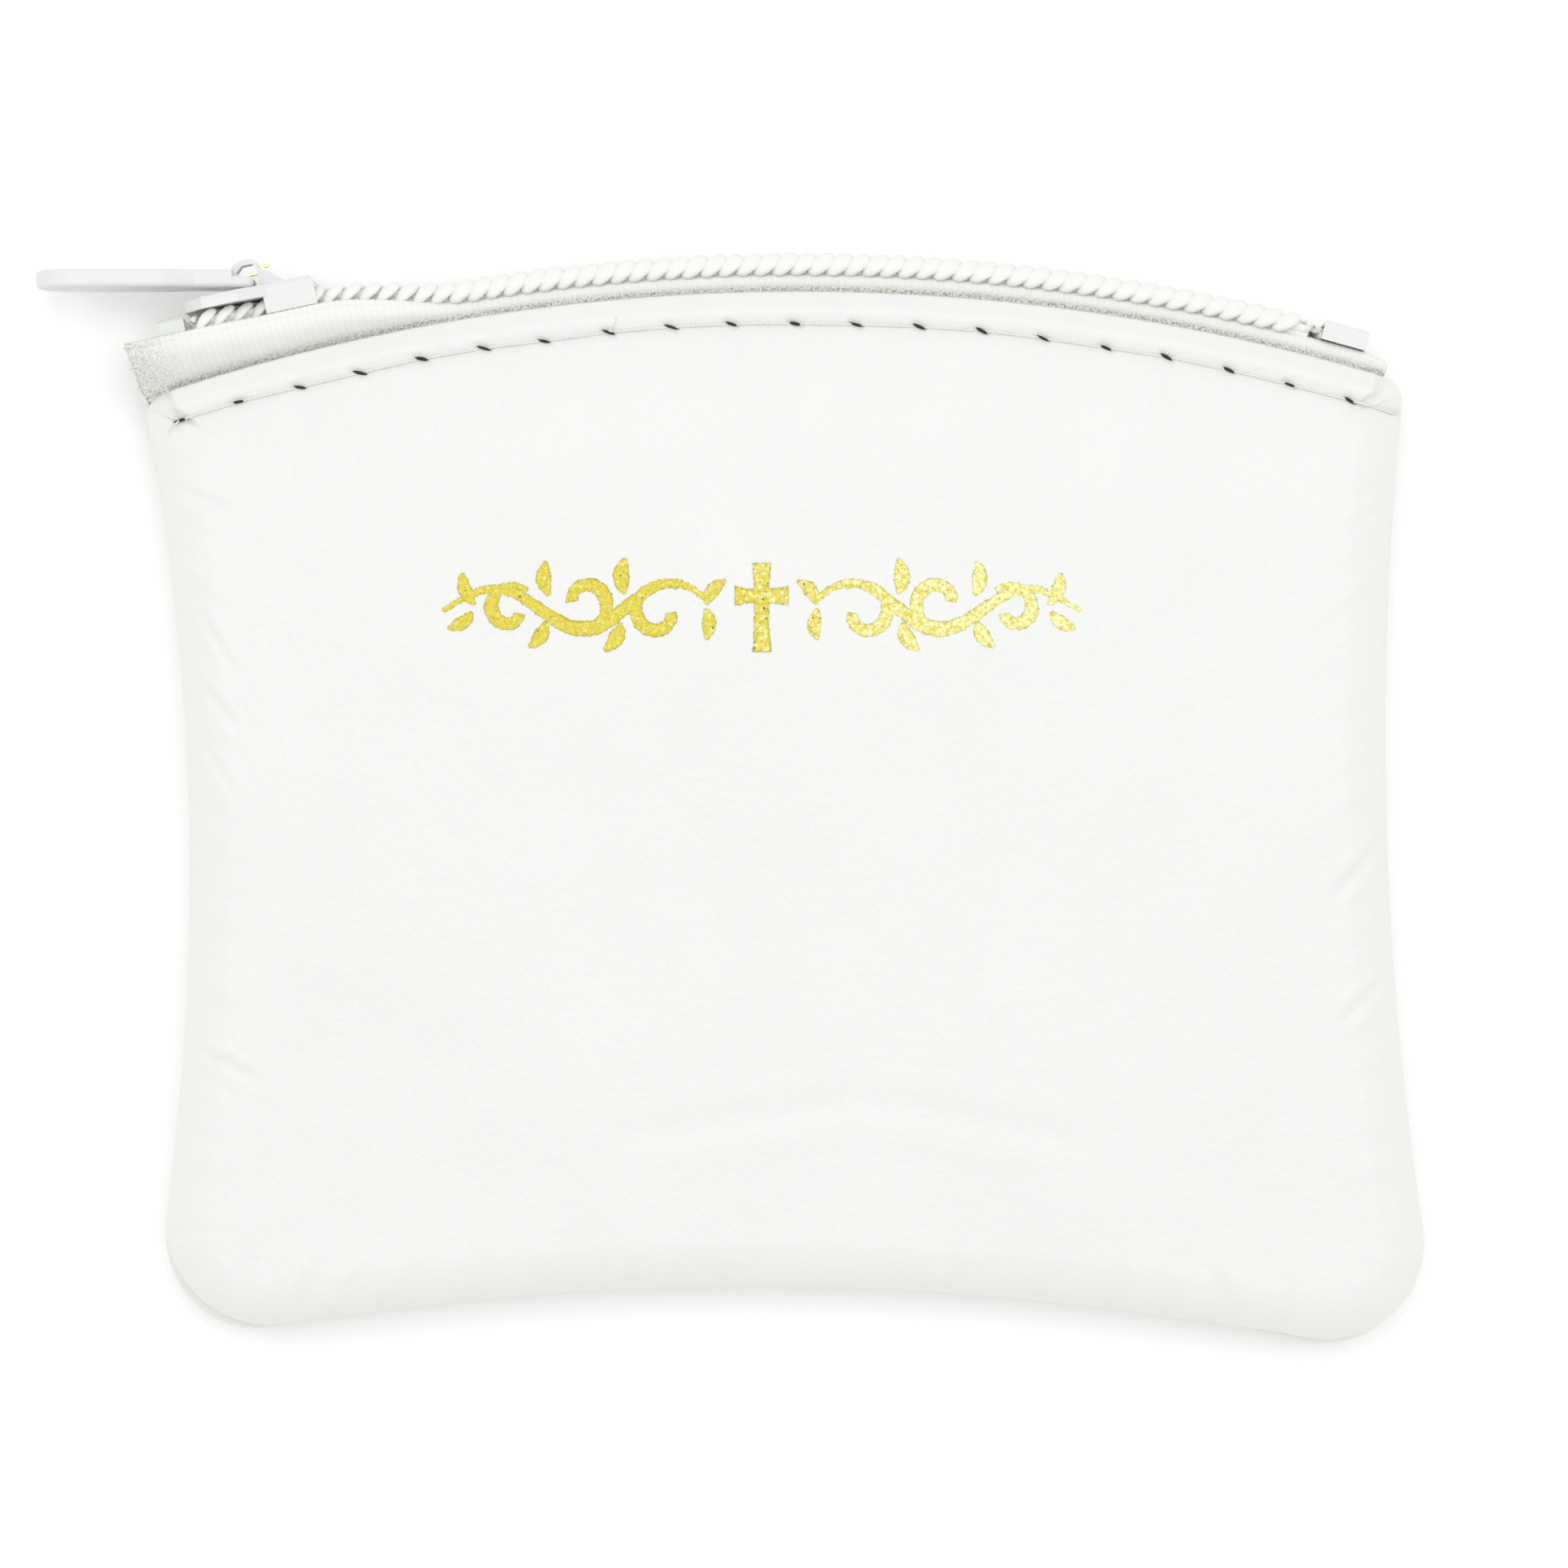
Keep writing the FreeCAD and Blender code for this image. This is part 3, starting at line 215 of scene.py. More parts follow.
def tube(path, radius, sides=8, flatten=None):
    """Closed-ended tube along a path; flatten is (direction, share) to squeeze it that way."""
    path = np.asarray(path, float)
    count = len(path)
    radius = np.broadcast_to(radius, count)
    tangent = units(np.gradient(path, axis=0))
    side = np.zeros_like(tangent)
    reference = np.array([0.0, 0.0, 1.0]) if abs(tangent[0][2]) < 0.9 else np.array([1.0, 0.0, 0.0])
    for index in range(count):
        reference = reference - tangent[index] * (reference @ tangent[index])
        reference /= np.linalg.norm(reference)
        side[index] = reference
    other = np.cross(tangent, side)
    turn = np.arange(sides)[:, None] * 2 * math.pi / sides
    ring = side[:, None, :] * np.cos(turn) + other[:, None, :] * np.sin(turn)
    if flatten is not None:
        direction, share = flatten
        ring = ring - (ring @ direction)[..., None] * direction * (1 - share)
    vertices = (path[:, None, :] + ring * radius[:, None, None]).reshape(-1, 3)
    faces = grid_faces(count, sides, closed_columns=True)
    faces.append(list(range(sides))[::-1])
    faces.append([(count - 1) * sides + index for index in range(sides)])
    return vertices, faces


def merged(parts):
    """One set of vertices and faces from several."""
    vertices, faces, first = [], [], 0
    for part_vertices, part_faces in parts:
        vertices.append(np.asarray(part_vertices, float))
        faces += [[index + first for index in face] for face in part_faces]
        first += len(part_vertices)
    return np.concatenate(vertices), faces


def mirrored(part):
    """The same vertices and faces on the back half of the pouch."""
    vertices, faces = part
    vertices = np.array(vertices, float)
    vertices[:, 2] = 2 * MID - vertices[:, 2]
    return vertices, [face[::-1] for face in faces]


# ---------- materials


class Nodes:
    """Short way to build a Principled material from nodes."""

    def __init__(self, name, color, roughness):
        self.material = bpy.data.materials.new(name)
        self.material.use_nodes = True
        self.tree = self.material.node_tree
        self.shader = self.tree.nodes["Principled BSDF"]
        self.set(Base_Color=color, Roughness=roughness)
        self.place = self.add("ShaderNodeTexCoord").outputs["Object"]

    def feed(self, socket, value):
        """Link an output to a socket, or set the socket's own value."""
        if isinstance(value, bpy.types.NodeSocket):
            self.tree.links.new(value, socket)
        else:
            socket.default_value = (*value, 1.0) if isinstance(value, tuple) else value

    def add(self, kind, inputs=None, **settings):
        node = self.tree.nodes.new(kind)
        for key, value in settings.items():
            setattr(node, key, value)
        for key, value in (inputs or {}).items():
            self.feed(node.inputs[key], value)
        return node

    def set(self, **values):
        for key, value in values.items():
            self.feed(self.shader.inputs[key.replace("_", " ")], value)

    def noise(self, scale_mm, detail=4.0, roughness=0.6):
        inputs = {"Vector": self.place, "Scale": 1.0 / (scale_mm * MM)}
        inputs.update({"Detail": detail, "Roughness": roughness})
        return self.add("ShaderNodeTexNoise", inputs).outputs["Fac"]

    def cells(self, scale_mm):
        inputs = {"Vector": self.place, "Scale": 1.0 / (scale_mm * MM)}
        return self.add("ShaderNodeTexVoronoi", inputs, feature="SMOOTH_F1").outputs["Distance"]

    def attribute(self, name):
        return self.add("ShaderNodeAttribute", attribute_name=name).outputs["Fac"]

    def math(self, operation, first, second):
        return self.add("ShaderNodeMath", {0: first, 1: second}, operation=operation).outputs[0]

    def ramp(self, source, low, high):
        """Source stretched from low..high to 0..1."""
        inputs = {"Value": source, "From Min": low, "From Max": high}
        return self.add("ShaderNodeMapRange", inputs).outputs["Result"]

    def mix(self, factor, first, second, share=None):
        """Colour between first and second; share scales the factor."""
        if share:
            factor = self.math("MULTIPLY", factor, share)
        inputs = {0: factor, 6: first, 7: second}
        return self.add("ShaderNodeMix", inputs, data_type="RGBA").outputs[2]

    def bump(self, *layers):
        """Chain of bump nodes from (height, depth in mm, strength) layers."""
        inputs = {}
        for height, depth, strength in layers:
            inputs.update({"Height": height, "Distance": depth * MM, "Strength": strength})
            inputs = {"Normal": self.add("ShaderNodeBump", inputs).outputs["Normal"]}
        self.set(**inputs)


def one_noise_material(name, low, high, roughness, noise, bump=None):
    """Material whose colour runs from low to high with a noise; bump is (depth in mm, strength)."""
    n = Nodes(name, high, roughness)
    tone = n.noise(*noise)
    n.set(Base_Color=n.mix(tone, low, high))
    if bump:
        n.bump((tone, *bump))
    return n.material


def leather_material():
    """White dyed leather: fine pebbled grain, a painted green-grey shade tint along the rounded
    seams, and a raw cut edge.
    """
    n = Nodes("white_leather", (0.76, 0.76, 0.745), 0.5)
    fine = n.noise(0.16, 3.0)
    speck = n.ramp(n.noise(0.55, 2.0, 0.7), 0.70, 0.78)
    base = n.mix(n.noise(9.0, 2.0), (0.745, 0.745, 0.73), (0.775, 0.775, 0.76))
    base = n.mix(speck, base, (0.68, 0.675, 0.645), 0.25)
    # painted shade: a green-grey tint along the rounded seam edges
    base = n.mix(n.attribute("rim"), base, (0.79, 0.815, 0.765), 0.6)
    # painted shade: darker colour inside the needle slits
    base = n.mix(n.attribute("slit"), base, (0.55, 0.54, 0.50), 0.35)
    fuzz = n.ramp(n.noise(0.16, 4.0, 0.8), 0.38, 0.62)
    base = n.mix(n.math("MULTIPLY", n.attribute("raw"), fuzz), base, (0.30, 0.29, 0.24))
    n.set(Base_Color=base, Roughness=n.ramp(fine, -0.6, 2.2))
    n.bump((n.noise(3.2, 3.0), 0.10, 0.55), (n.cells(0.42), 0.05, 0.6), (fine, 0.02, 0.5))
    n.set(Subsurface_Weight=0.08, Subsurface_Scale=0.4 * MM, Specular_IOR_Level=0.35)
    return n.material


def tape_material():
    """Woven polyester tape, ribbed across its length, with painted shade in its rib hollows and
    along the leather's edge, and darker speckles at its left cut end.
    """
    n = Nodes("zip_tape", (0.875, 0.87, 0.845), 0.8)
    weave = n.attribute("weave")
    # painted shade: the colour darkens into the rib hollows, following the weave
    base = n.mix(weave, (0.80, 0.795, 0.765), (0.86, 0.855, 0.825))
    speck = n.ramp(n.noise(0.14, 4.0, 0.8), 0.44, 0.60)
    # painted shade: dark speckles along the crevice where the tape meets the leather, and darker
    # speckles at the tape's left cut end
    base = n.mix(n.math("MULTIPLY", n.attribute("grime"), speck), base, (0.20, 0.19, 0.13))
    n.set(Base_Color=base)
    n.bump((weave, 0.05, 0.8), (n.noise(0.12, 4.0, 0.7), 0.03, 0.5))
    return n.material


def nylon_material(name, color):
    """Glossy translucent nylon filament."""
    n = Nodes(name, color, 0.22)
    n.set(Base_Color=n.mix(n.noise(0.5, 2.0), tuple(0.94 * part for part in color), color))
    n.bump((n.noise(0.25, 2.0), 0.01, 0.4))
    n.set(Subsurface_Weight=0.35, Subsurface_Scale=0.3 * MM, Coat_Weight=0.3)
    return n.material


def paint_material(name, color, chip):
    """White enamel over zinc die casting, with soft orange peel and tiny chips at random."""
    n = Nodes(name, color, 0.45)
    worn = n.ramp(n.noise(0.35, 4.0, 0.7), 0.69, 0.76)
    base = n.mix(n.noise(1.6, 3.0), tuple(0.95 * part for part in color), color)
    n.set(Base_Color=n.mix(worn, base, chip, 0.6))
    n.bump((n.noise(0.7, 2.0), 0.02, 0.35), (n.noise(0.12, 3.0), 0.006, 0.3))
    n.set(Coat_Weight=0.1)
    return n.material


def brass_material():
    """Bare brass strip with a faint drawn grain."""
    n = Nodes("brass_strip", (0.80, 0.58, 0.25), 0.32)
    n.set(Base_Color=n.mix(n.noise(0.3, 4.0), (0.66, 0.44, 0.17), (0.86, 0.66, 0.32)))
    n.bump((n.noise(0.15, 3.0), 0.01, 0.5))
    n.set(Metallic=1.0)
    return n.material


def foil_material():
    """Hot-stamped gold foil, broken by the grain, deep gold on the left and pale in the light."""
    n = Nodes("gold_foil", (0.80, 0.67, 0.07), 0.38)
    patches = n.noise(0.30, 3.0, 0.65)
    crumple = n.noise(0.16, 4.0, 0.7)
    base = n.mix(n.ramp(crumple, 0.35, 0.65), (0.50, 0.39, 0.025), (0.72, 0.63, 0.06))
    shine = n.math("MULTIPLY", n.attribute("sheen"), 0.19)
    glint = n.ramp(n.math("ADD", patches, shine), 0.56, 0.74)
    base = n.mix(glint, base, (0.78, 0.77, 0.38))
    holes = n.math("ADD", n.noise(0.20, 2.0, 0.5), n.math("MULTIPLY", n.attribute("pits"), 0.05))
    base = n.mix(n.ramp(holes, 0.715, 0.735), base, (0.05, 0.035, 0.01))
    n.set(Base_Color=base)
    n.bump((patches, 0.07, 0.7), (crumple, 0.04, 0.8))
    n.set(Metallic=0.25)
    return n.material


# ---------- outline of the panels


def circle_cross(centre_a, radius_a, centre_b, radius_b, near):
    """The crossing of two circles that is nearer to a point."""
    gap = centre_b - centre_a
    distance = np.hypot(*gap)
    along = (radius_a**2 - radius_b**2 + distance**2) / (2 * distance)
    across = math.sqrt(radius_a**2 - along**2)
    foot = centre_a + gap / distance * along
    normal = np.array([-gap[1], gap[0]]) / distance
    crossings = (foot + normal * across, foot - normal * across)
    return min(crossings, key=lambda point: np.hypot(*(point - near)))


def arc_points(centre, radius, start, end, count):
    """Points on an arc from start to end, the shorter way round, without the last one."""
    first = math.atan2(*(start - centre)[::-1])
    sweep = (math.atan2(*(end - centre)[::-1]) - first + math.pi) % (2 * math.pi) - math.pi
    angles = first + sweep * np.arange(count) / count
    return centre + radius * pairs(np.cos(angles), np.sin(angles))


MOUTH_COUNT, CORNER_COUNT = 620, 26
# Each side of the outline: centre, radius, whether the radius grows with the inset, points.
SIDES = {
    "mouth": (ZIP_CENTRE, MOUTH_RADIUS, -1, MOUTH_COUNT),
    "right": (RIGHT_CENTRE, RIGHT_RADIUS, 1, 150),
    "bottom": (BOTTOM_CENTRE, BOTTOM_RADIUS, 1, 190),
    "left": (LEFT_CENTRE, LEFT_RADIUS, 1, 150),
}
# Each corner: the sides before and after it, its radius, and a point near it.
CORNERS = (
    ("mouth", "right", MOUTH_CORNER, (39.5, 27.0)),
    ("right", "bottom", CORNER_ROUND, (40.0, -35.0)),
    ("bottom", "left", CORNER_ROUND, (-41.0, -35.0)),
    ("left", "mouth", MOUTH_CORNER, (-42.5, 25.0)),
)


def outline(inset):
    """Closed outline moved in by inset, clockwise from the left end of the mouth arc."""
    bends = []
    for before, after, rounding, near in CORNERS:
        rounding = max(rounding - inset, 0.25)
        circles = []
        for side in (before, after):
            middle, radius, outward, _ = SIDES[side]
            circles += [middle, radius + outward * inset + outward * rounding]
        centre = circle_cross(*circles, near)
        touches = []
        for side in (before, after):
            middle, radius, outward, _ = SIDES[side]
            direction = (centre - middle) / np.hypot(*(centre - middle))
            touches.append(middle + direction * (radius + outward * inset))
        bends.append((centre, rounding, touches))
    pieces = []
    for index, (centre, rounding, touches) in enumerate(bends):
        middle, radius, outward, count = SIDES[CORNERS[index][0]]
        start = bends[index - 1][2][1]
        pieces.append(arc_points(middle, radius + outward * inset, start, touches[0], count))
        pieces.append(arc_points(centre, rounding, *touches, CORNER_COUNT))
    return np.concatenate(pieces)


ROUND_COUNT = len(outline(0.0))


def from_sides(points):
    """How far each point lies inside the left and the right side seam."""
    return reach(points, LEFT_CENTRE) - LEFT_RADIUS, reach(points, RIGHT_CENTRE) - RIGHT_RADIUS


def mouthness():
    """For each outline point, 1 along the mouth and 0 along the seams."""
    edge = outline(0.0)
    angle = mouth_angle(edge)
    on_mouth = np.abs(reach(edge, ZIP_CENTRE) - MOUTH_RADIUS) < 0.8
    first, last = angle[0], angle[MOUTH_COUNT]
    ends = smooth((angle - first) / 0.4 + 0.15) * smooth((last - angle) / 0.4 + 0.15)
    return np.where(on_mouth, ends, 0.0)


def top_height(points):
    """Height of the front panel's outer face away from its seams."""
    slope = MID + LIP_GAP + LIP_RISE + (MOUTH_RADIUS - reach(points, ZIP_CENTRE)) * LIP_SLOPE
    gap = TOP - slope
    return TOP - 0.5 * (gap + np.sqrt(gap * gap + 0.25))


# ---------- folds and puckers


def crease(points, start, end, width, depth):
    """Soft furrow from start to end, fading at its ends."""
    start, end = np.array(start), np.array(end)
    run = end - start
    length = np.hypot(*run)
    away_x, away_y = points[..., 0] - start[0], points[..., 1] - start[1]
    along = (away_x * run[0] + away_y * run[1]) / length**2
    across = (away_x * run[1] - away_y * run[0]) / length
    fade = smooth(along / 0.35 + 0.4) * smooth((1 - along) / 0.35 + 0.4)
    shoulder = 0.5 * bell(np.abs(across) - 1.9 * width, width)
    return (shoulder - bell(across, width)) * depth * fade


FRONT_CREASES = (
    ((-39.6, -16.6), (-35.4, -18.6), 0.35, 0.16),
    ((-38.9, -18.4), (-36.2, -17.2), 0.25, 0.10),
    ((39.0, -2.6), (35.6, -6.6), 0.40, 0.16),
    ((39.2, -11.6), (35.9, -15.0), 0.38, 0.15),
    ((-38.8, 11.8), (-36.6, 7.9), 0.30, 0.09),
    ((-38.9, 7.4), (-36.4, 4.1), 0.28, 0.09),
    ((-39.0, 3.6), (-36.7, 0.2), 0.30, 0.08),
    ((-11.0, -22.6), (4.4, -20.2), 0.9, 0.07),
    ((4.4, -20.2), (18.4, -22.6), 0.9, 0.07),
    ((-33.0, -35.2), (-31.2, -30.9), 0.42, 0.17),
    ((-29.4, -34.8), (-28.6, -31.4), 0.38, 0.14),
    ((-25.6, -34.6), (-25.4, -31.8), 0.40, 0.10),
    ((25.0, -34.6), (24.2, -31.4), 0.42, 0.11),
    ((29.0, -35.4), (27.7, -31.5), 0.45, 0.15),
    ((-41.2, 20.0), (-36.9, 18.4), 0.35, 0.10),
    ((40.2, 19.6), (36.4, 17.2), 0.35, 0.09),
)
FRONT_SEED, BACK_SEED = 31, 57
BACK_CREASES = (
    ((-39.4, 9.0), (-35.0, 6.0), 0.40, 0.15),
    ((-39.2, -9.0), (-35.8, -11.2), 0.35, 0.12),
    ((38.9, 8.2), (34.8, 5.4), 0.42, 0.15),
    ((39.1, -7.6), (35.4, -10.4), 0.38, 0.13),
    ((-30.6, -35.0), (-29.0, -30.6), 0.42, 0.16),
    ((27.6, -35.2), (26.0, -31.0), 0.42, 0.15),
    ((-14.0, 21.0), (12.0, 22.4), 0.9, 0.06),
)


def holes():
    """Needle hole positions of the zip seam."""
    angles = STITCH_FIRST + STITCH_STEP * np.arange(STITCH_COUNT + 1)
    angles[-1] -= 0.35
    wobble = np.random.default_rng(21).normal(0.0, 0.05, (STITCH_COUNT + 1, 2))
    return polar(angles, STITCH_RADIUS) + wobble


HOLES = holes()


def slit_slant(index):
    """Slant of a needle slit, degrees: it grows along the seam, after two that lean back."""
    return SLIT_FIRST_SLANT if index < 2 else SLIT_SLANT + SLIT_SLANT_STEP * index


def slit_depth(points):
    """0 to 1 inside the slanted slits that the needle left."""
    total = np.zeros(points.shape[:-1])
    for index, (x, y) in enumerate(HOLES):
        slant = math.radians(slit_slant(index))
        away_x, away_y = points[..., 0] - x, points[..., 1] - y
        along = away_x * math.cos(slant) + away_y * math.sin(slant)
        across = -away_x * math.sin(slant) + away_y * math.cos(slant)
        total = np.maximum(total, np.exp(-((along / SLIT_LONG) ** 4) - (across / SLIT_WIDE) ** 2))
    return total


def needle_slits():
    """Dark sheets of painted shade inside the slits, lying in their dimples."""
    rng = np.random.default_rng(77)
    parts = []
    turn = np.arange(SLIT_SIDES) * 2 * math.pi / SLIT_SIDES
    for index, (x, y) in enumerate(HOLES[:-1]):
        slant = math.radians(slit_slant(index) + rng.normal(0, 4))
        half_long, half_wide = rng.uniform(0.42, 0.54), rng.uniform(0.085, 0.125)
        rings = []
        for share, rise in ((1.0, 0.02), (0.85, 0.07), (0.45, 0.07)):
            along = half_long * share * np.cos(turn)
            across = half_wide * share * np.sin(turn) * (1 - 0.35 * np.cos(turn) ** 4)
            to_x = along * math.cos(slant) - across * math.sin(slant)
            to_y = along * math.sin(slant) + across * math.cos(slant)
            flat = pairs(x + to_x, y + to_y)
            rings.append(raised(flat, face_height(flat) - SLIT_DEEP * slit_depth(flat) + rise))
        faces = grid_faces(3, SLIT_SIDES, closed_columns=True)
        faces.append([2 * SLIT_SIDES + corner for corner in range(SLIT_SIDES)])
        parts.append((np.concatenate(rings), faces))
    return merged(parts)


def hem_height(points):
    """Furrow of the stitch line, deeper at each needle hole, and the raised hem beyond it."""
    radius = reach(points, ZIP_CENTRE)
    angle = mouth_angle(points)
    at_hole = 0.5 + 0.5 * np.cos(2 * math.pi * (angle - STITCH_FIRST) / STITCH_STEP)
    in_run = smooth((angle - STITCH_FIRST) / 0.6 + 1.0) * smooth((STITCH_LAST - angle) / 0.6 + 1.0)
    furrow = bell(radius - STITCH_RADIUS, 0.42) * (0.10 + 0.13 * at_hole**3)
    hem = bell(radius - STITCH_RADIUS - 1.05, 0.75) * (0.13 + 0.06 * (1 - at_hole))
    inner = bell(radius - STITCH_RADIUS + 1.3, 1.1) * 0.05 * (1 - at_hole)
    return (hem + inner - furrow) * in_run


def relief(points, inset, along_edge, mouth, creases, seed):
    """All the soft unevenness of one panel, in mm outward from it."""
    calm = smooth(inset / 3.0)
    height = 0.07 * hash_noise(points, 26.0, seed) * calm
    height = height + 0.03 * hash_noise(points, 9.0, seed + 1) * calm
    for start, end, width, depth in creases:
        height = height + crease(points, start, end, width, depth)
    around = 2 * math.pi * along_edge
    puckers = 0.055 * np.sin(around / 3.9 + 1.4 * np.sin(along_edge / 5.3))
    puckers = puckers + 0.04 * np.sin(around / 2.3 + 2.1 * np.sin(along_edge / 9.1))
    return height + puckers * bell(inset, 2.8) * (1.0 - mouth)


# ---------- leather panels

INSET_DEEP = 6.0
FACE_RINGS, INSIDE_RINGS, MIDDLE_SHARE = 44, 12, 0.015
# The mouth's rounded lip: inset and drop below the face.
LIP = ((0.14, -0.05), (0.04, -0.18), (0.0, -0.36), (0.02, -0.62), (0.10, -0.84), (0.26, -0.97))
# The seam below the rounded edge and its turned-in allowance: inset and height.
SEAM = ((0.0, 5.5), (0.02, 5.15), (0.10, 4.86), (0.26, 4.66), (0.55, 4.56), (1.0, 4.53))
SEAM += ((2.2, 4.53), (3.9, 4.53), (4.0, 4.7), (4.0, 5.3))
SEAM += ((3.9, 5.48), (2.4, 5.52), (1.6, 5.6), (1.2, 5.8))


def rounded_edge(radius, turns):
    """Profile of the rounded side edge at a radius about the same centre."""
    across, over = np.sin(turns), np.cos(turns)
    return list(zip(EDGE_ROUND - radius * across, TOP - EDGE_ROUND + radius * over, over))


def seam_profile():
    """(inset, height, share of the face's slope) from the face round the seam to the inside."""
    outer = [(inset, TOP, 1.0) for inset in np.linspace(INSET_DEEP, EDGE_ROUND, 12)[:-1]]
    outer += rounded_edge(EDGE_ROUND, np.linspace(0, math.pi / 2, 42))
    seam = [(inset, height, 0.0) for inset, height in SEAM]
    inner = rounded_edge(EDGE_ROUND - LEATHER, np.linspace(math.pi / 2, 0, 10))
    inner += [(4.4, TOP - LEATHER, 1.0), (INSET_DEEP, TOP - LEATHER, 1.0)]
    return np.array(outer + seam + inner), len(outer)


def mouth_profile(count, outer_count):
    """The same number of points for the mouth: face, rounded lip, and inside face."""
    points = [(inset, TOP, 1.0) for inset in np.linspace(INSET_DEEP, 0.30, outer_count)]
    points += [(inset, TOP + drop, 1.0) for inset, drop in LIP]
    rest = count - len(points)
    points += [(inset, TOP - LIP_RISE, 1.0) for inset in np.linspace(0.5, INSET_DEEP, rest)]
    return np.array(points)


def shrink_rings(edge, count, first, last):
    """Rings that shrink from an inset outline towards the middle of the panel."""
    middle = np.array([-1.0, -3.0])
    shares = first + (last - first) * np.linspace(0, 1, count)
    return [middle + (edge - middle) * share for share in shares]


def warp_corners(points, amount):
    """Small pull of the lower corners in or out, so the two panels don't match exactly."""
    for corner, pull in (((-38.5, -33.0), (-0.30, -0.42)), ((34.0, -34.0), (0.10, -0.34))):
        points = points + bell(reach(points, corner), 6.5)[..., None] * np.array(pull) * amount
    return points


def panel_rows(seam, lip, mouth):
    """Places, heights, slope shares and insets of one shell's rings, from face to inside."""
    insets = np.unique(np.concatenate([seam[:, 0], lip[:, 0]]))
    table = np.array([outline(inset) for inset in insets])
    columns = np.arange(ROUND_COUNT)
    deep, whole = outline(INSET_DEEP), np.ones(ROUND_COUNT)
    face = shrink_rings(deep, FACE_RINGS, MIDDLE_SHARE, 1.0)[:-1]
    rows = [(ring, TOP * whole, whole, (INSET_DEEP + 1.0) * whole) for ring in face]
    for at_seam, at_lip in zip(seam, lip):
        inset, height, share = at_seam[:, None] * (1 - mouth) + at_lip[:, None] * mouth
        low = np.clip(np.searchsorted(insets, inset, side="right") - 1, 0, len(insets) - 2)
        part = ((inset - insets[low]) / (insets[low + 1] - insets[low]))[:, None]
        ring = table[low, columns] * (1 - part) + table[low + 1, columns] * part
        rows.append((ring, height, share, inset))
    inside = shrink_rings(deep, INSIDE_RINGS, 1.0, MIDDLE_SHARE)[1:]
    rows += [(ring, (TOP - LEATHER) * whole, whole, (INSET_DEEP + 1.0) * whole) for ring in inside]
    return [np.array(column) for column in zip(*rows)]


def closed_shell(flat, height):
    """Vertices and faces of the rings, closed by a fan of triangles at each end."""
    vertices = raised(flat, height).reshape(-1, 3)
    faces = [face[::-1] for face in grid_faces(len(flat), ROUND_COUNT, closed_columns=True)]
    last = (len(flat) - 1) * ROUND_COUNT
    middles = [vertices[:ROUND_COUNT].mean(axis=0), vertices[last:].mean(axis=0)]
    following = [(i + 1) % ROUND_COUNT for i in range(ROUND_COUNT)]
    faces += [[i, after, last + ROUND_COUNT] for i, after in enumerate(following)]
    faces += [[last + after, last + i, last + ROUND_COUNT + 1] for i, after in enumerate(following)]
    return np.concatenate([vertices, middles]), faces


def panel(name, side, creases, seed, leather, suede):
    """One closed leather shell: grain face, seam allowance, mouth lip and flesh side."""
    seam, outer_count = seam_profile()
    lip = mouth_profile(len(seam), outer_count)
    mouth = mouthness()
    flat, height, share, inset = panel_rows(seam, lip, mouth)
    row = np.arange(len(flat))[:, None]
    outer_rows = FACE_RINGS - 1 + outer_count + len(LIP)
    height = height - (TOP - top_height(flat)) * share
    bumps = relief(flat, inset, run_of(outline(0.0))[None, :], mouth[None, :], creases, seed)
    height = height + (bumps + hem_height(flat)) * share
    # slit sinks the needle slits and also masks their painted shade
    slit = slit_depth(flat) * (row < outer_rows)
    height = height - SLIT_DEEP * slit
    if side < 0:
        height = np.minimum(height, TOP)
    part = closed_shell(warp_corners(flat, 1.0 if side < 0 else -0.55), height)
    # rim masks the painted green-grey shade tint on the rounded seam edges
    rim = bell(inset, 1.6) * (1 - mouth[None, :])
    raw = ((row >= outer_rows - 5) & (row < outer_rows + 2)) * mouth[None, :]
    marks = {"slit": slit, "rim": rim, "raw": raw}
    marks = {key: np.append(values, [0.0, 0.0]) for key, values in marks.items()}
    piece = new_object(name, *(mirrored(part) if side < 0 else part), leather, "leather", marks)
    piece.data.materials.append(suede)
    ring_faces = (len(flat) - 1) * ROUND_COUNT
    material_index = np.zeros(len(piece.data.polygons), np.int32)
    material_index[outer_rows * ROUND_COUNT :] = 1
    material_index[ring_faces : ring_faces + ROUND_COUNT] = 0
    piece.data.polygons.foreach_set("material_index", material_index)
    return piece


# ---------- baking the front pieces


def bends_open(piece):
    """Bake a front piece's transform into its mesh and read its vertex places."""
    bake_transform(piece)
    places = np.zeros(3 * len(piece.data.vertices))
    piece.data.vertices.foreach_get("co", places)


# ---------- sewing threads


def face_height(points):
    """Height of the front panel's face with its hem, folds and rounded sides."""
    inset = np.minimum(*from_sides(points))
    rounding = np.clip(EDGE_ROUND - np.clip(inset, 0.0, None), 0.0, EDGE_ROUND)
    rounding = np.where(inset < MOUTH_RADIUS - reach(points, ZIP_CENTRE), rounding, 0.0)
    share = np.sqrt(1.0 - (rounding / EDGE_ROUND) ** 2)
    plain = TOP - EDGE_ROUND * (1.0 - share)
    nothing = np.zeros(points.shape[:-1])
    bumps = relief(points, nothing + INSET_DEEP, nothing, nothing + 1.0, FRONT_CREASES, FRONT_SEED)
    return plain - (TOP - top_height(points) - bumps - hem_height(points)) * share


def needle_path(start, end):
    """Path of one stitch from hole to hole: up out of the leather, along it and down again."""
    steps = np.linspace(0, 1, 26)
    flat = start + (end - start) * steps[:, None]
    rise = face_height(flat) + 0.05 + 0.05 * np.sin(math.pi * steps)
    dive = 0.9 * (1 - smooth(np.minimum(steps, 1 - steps) / 0.14))
    return raised(flat, rise - dive)


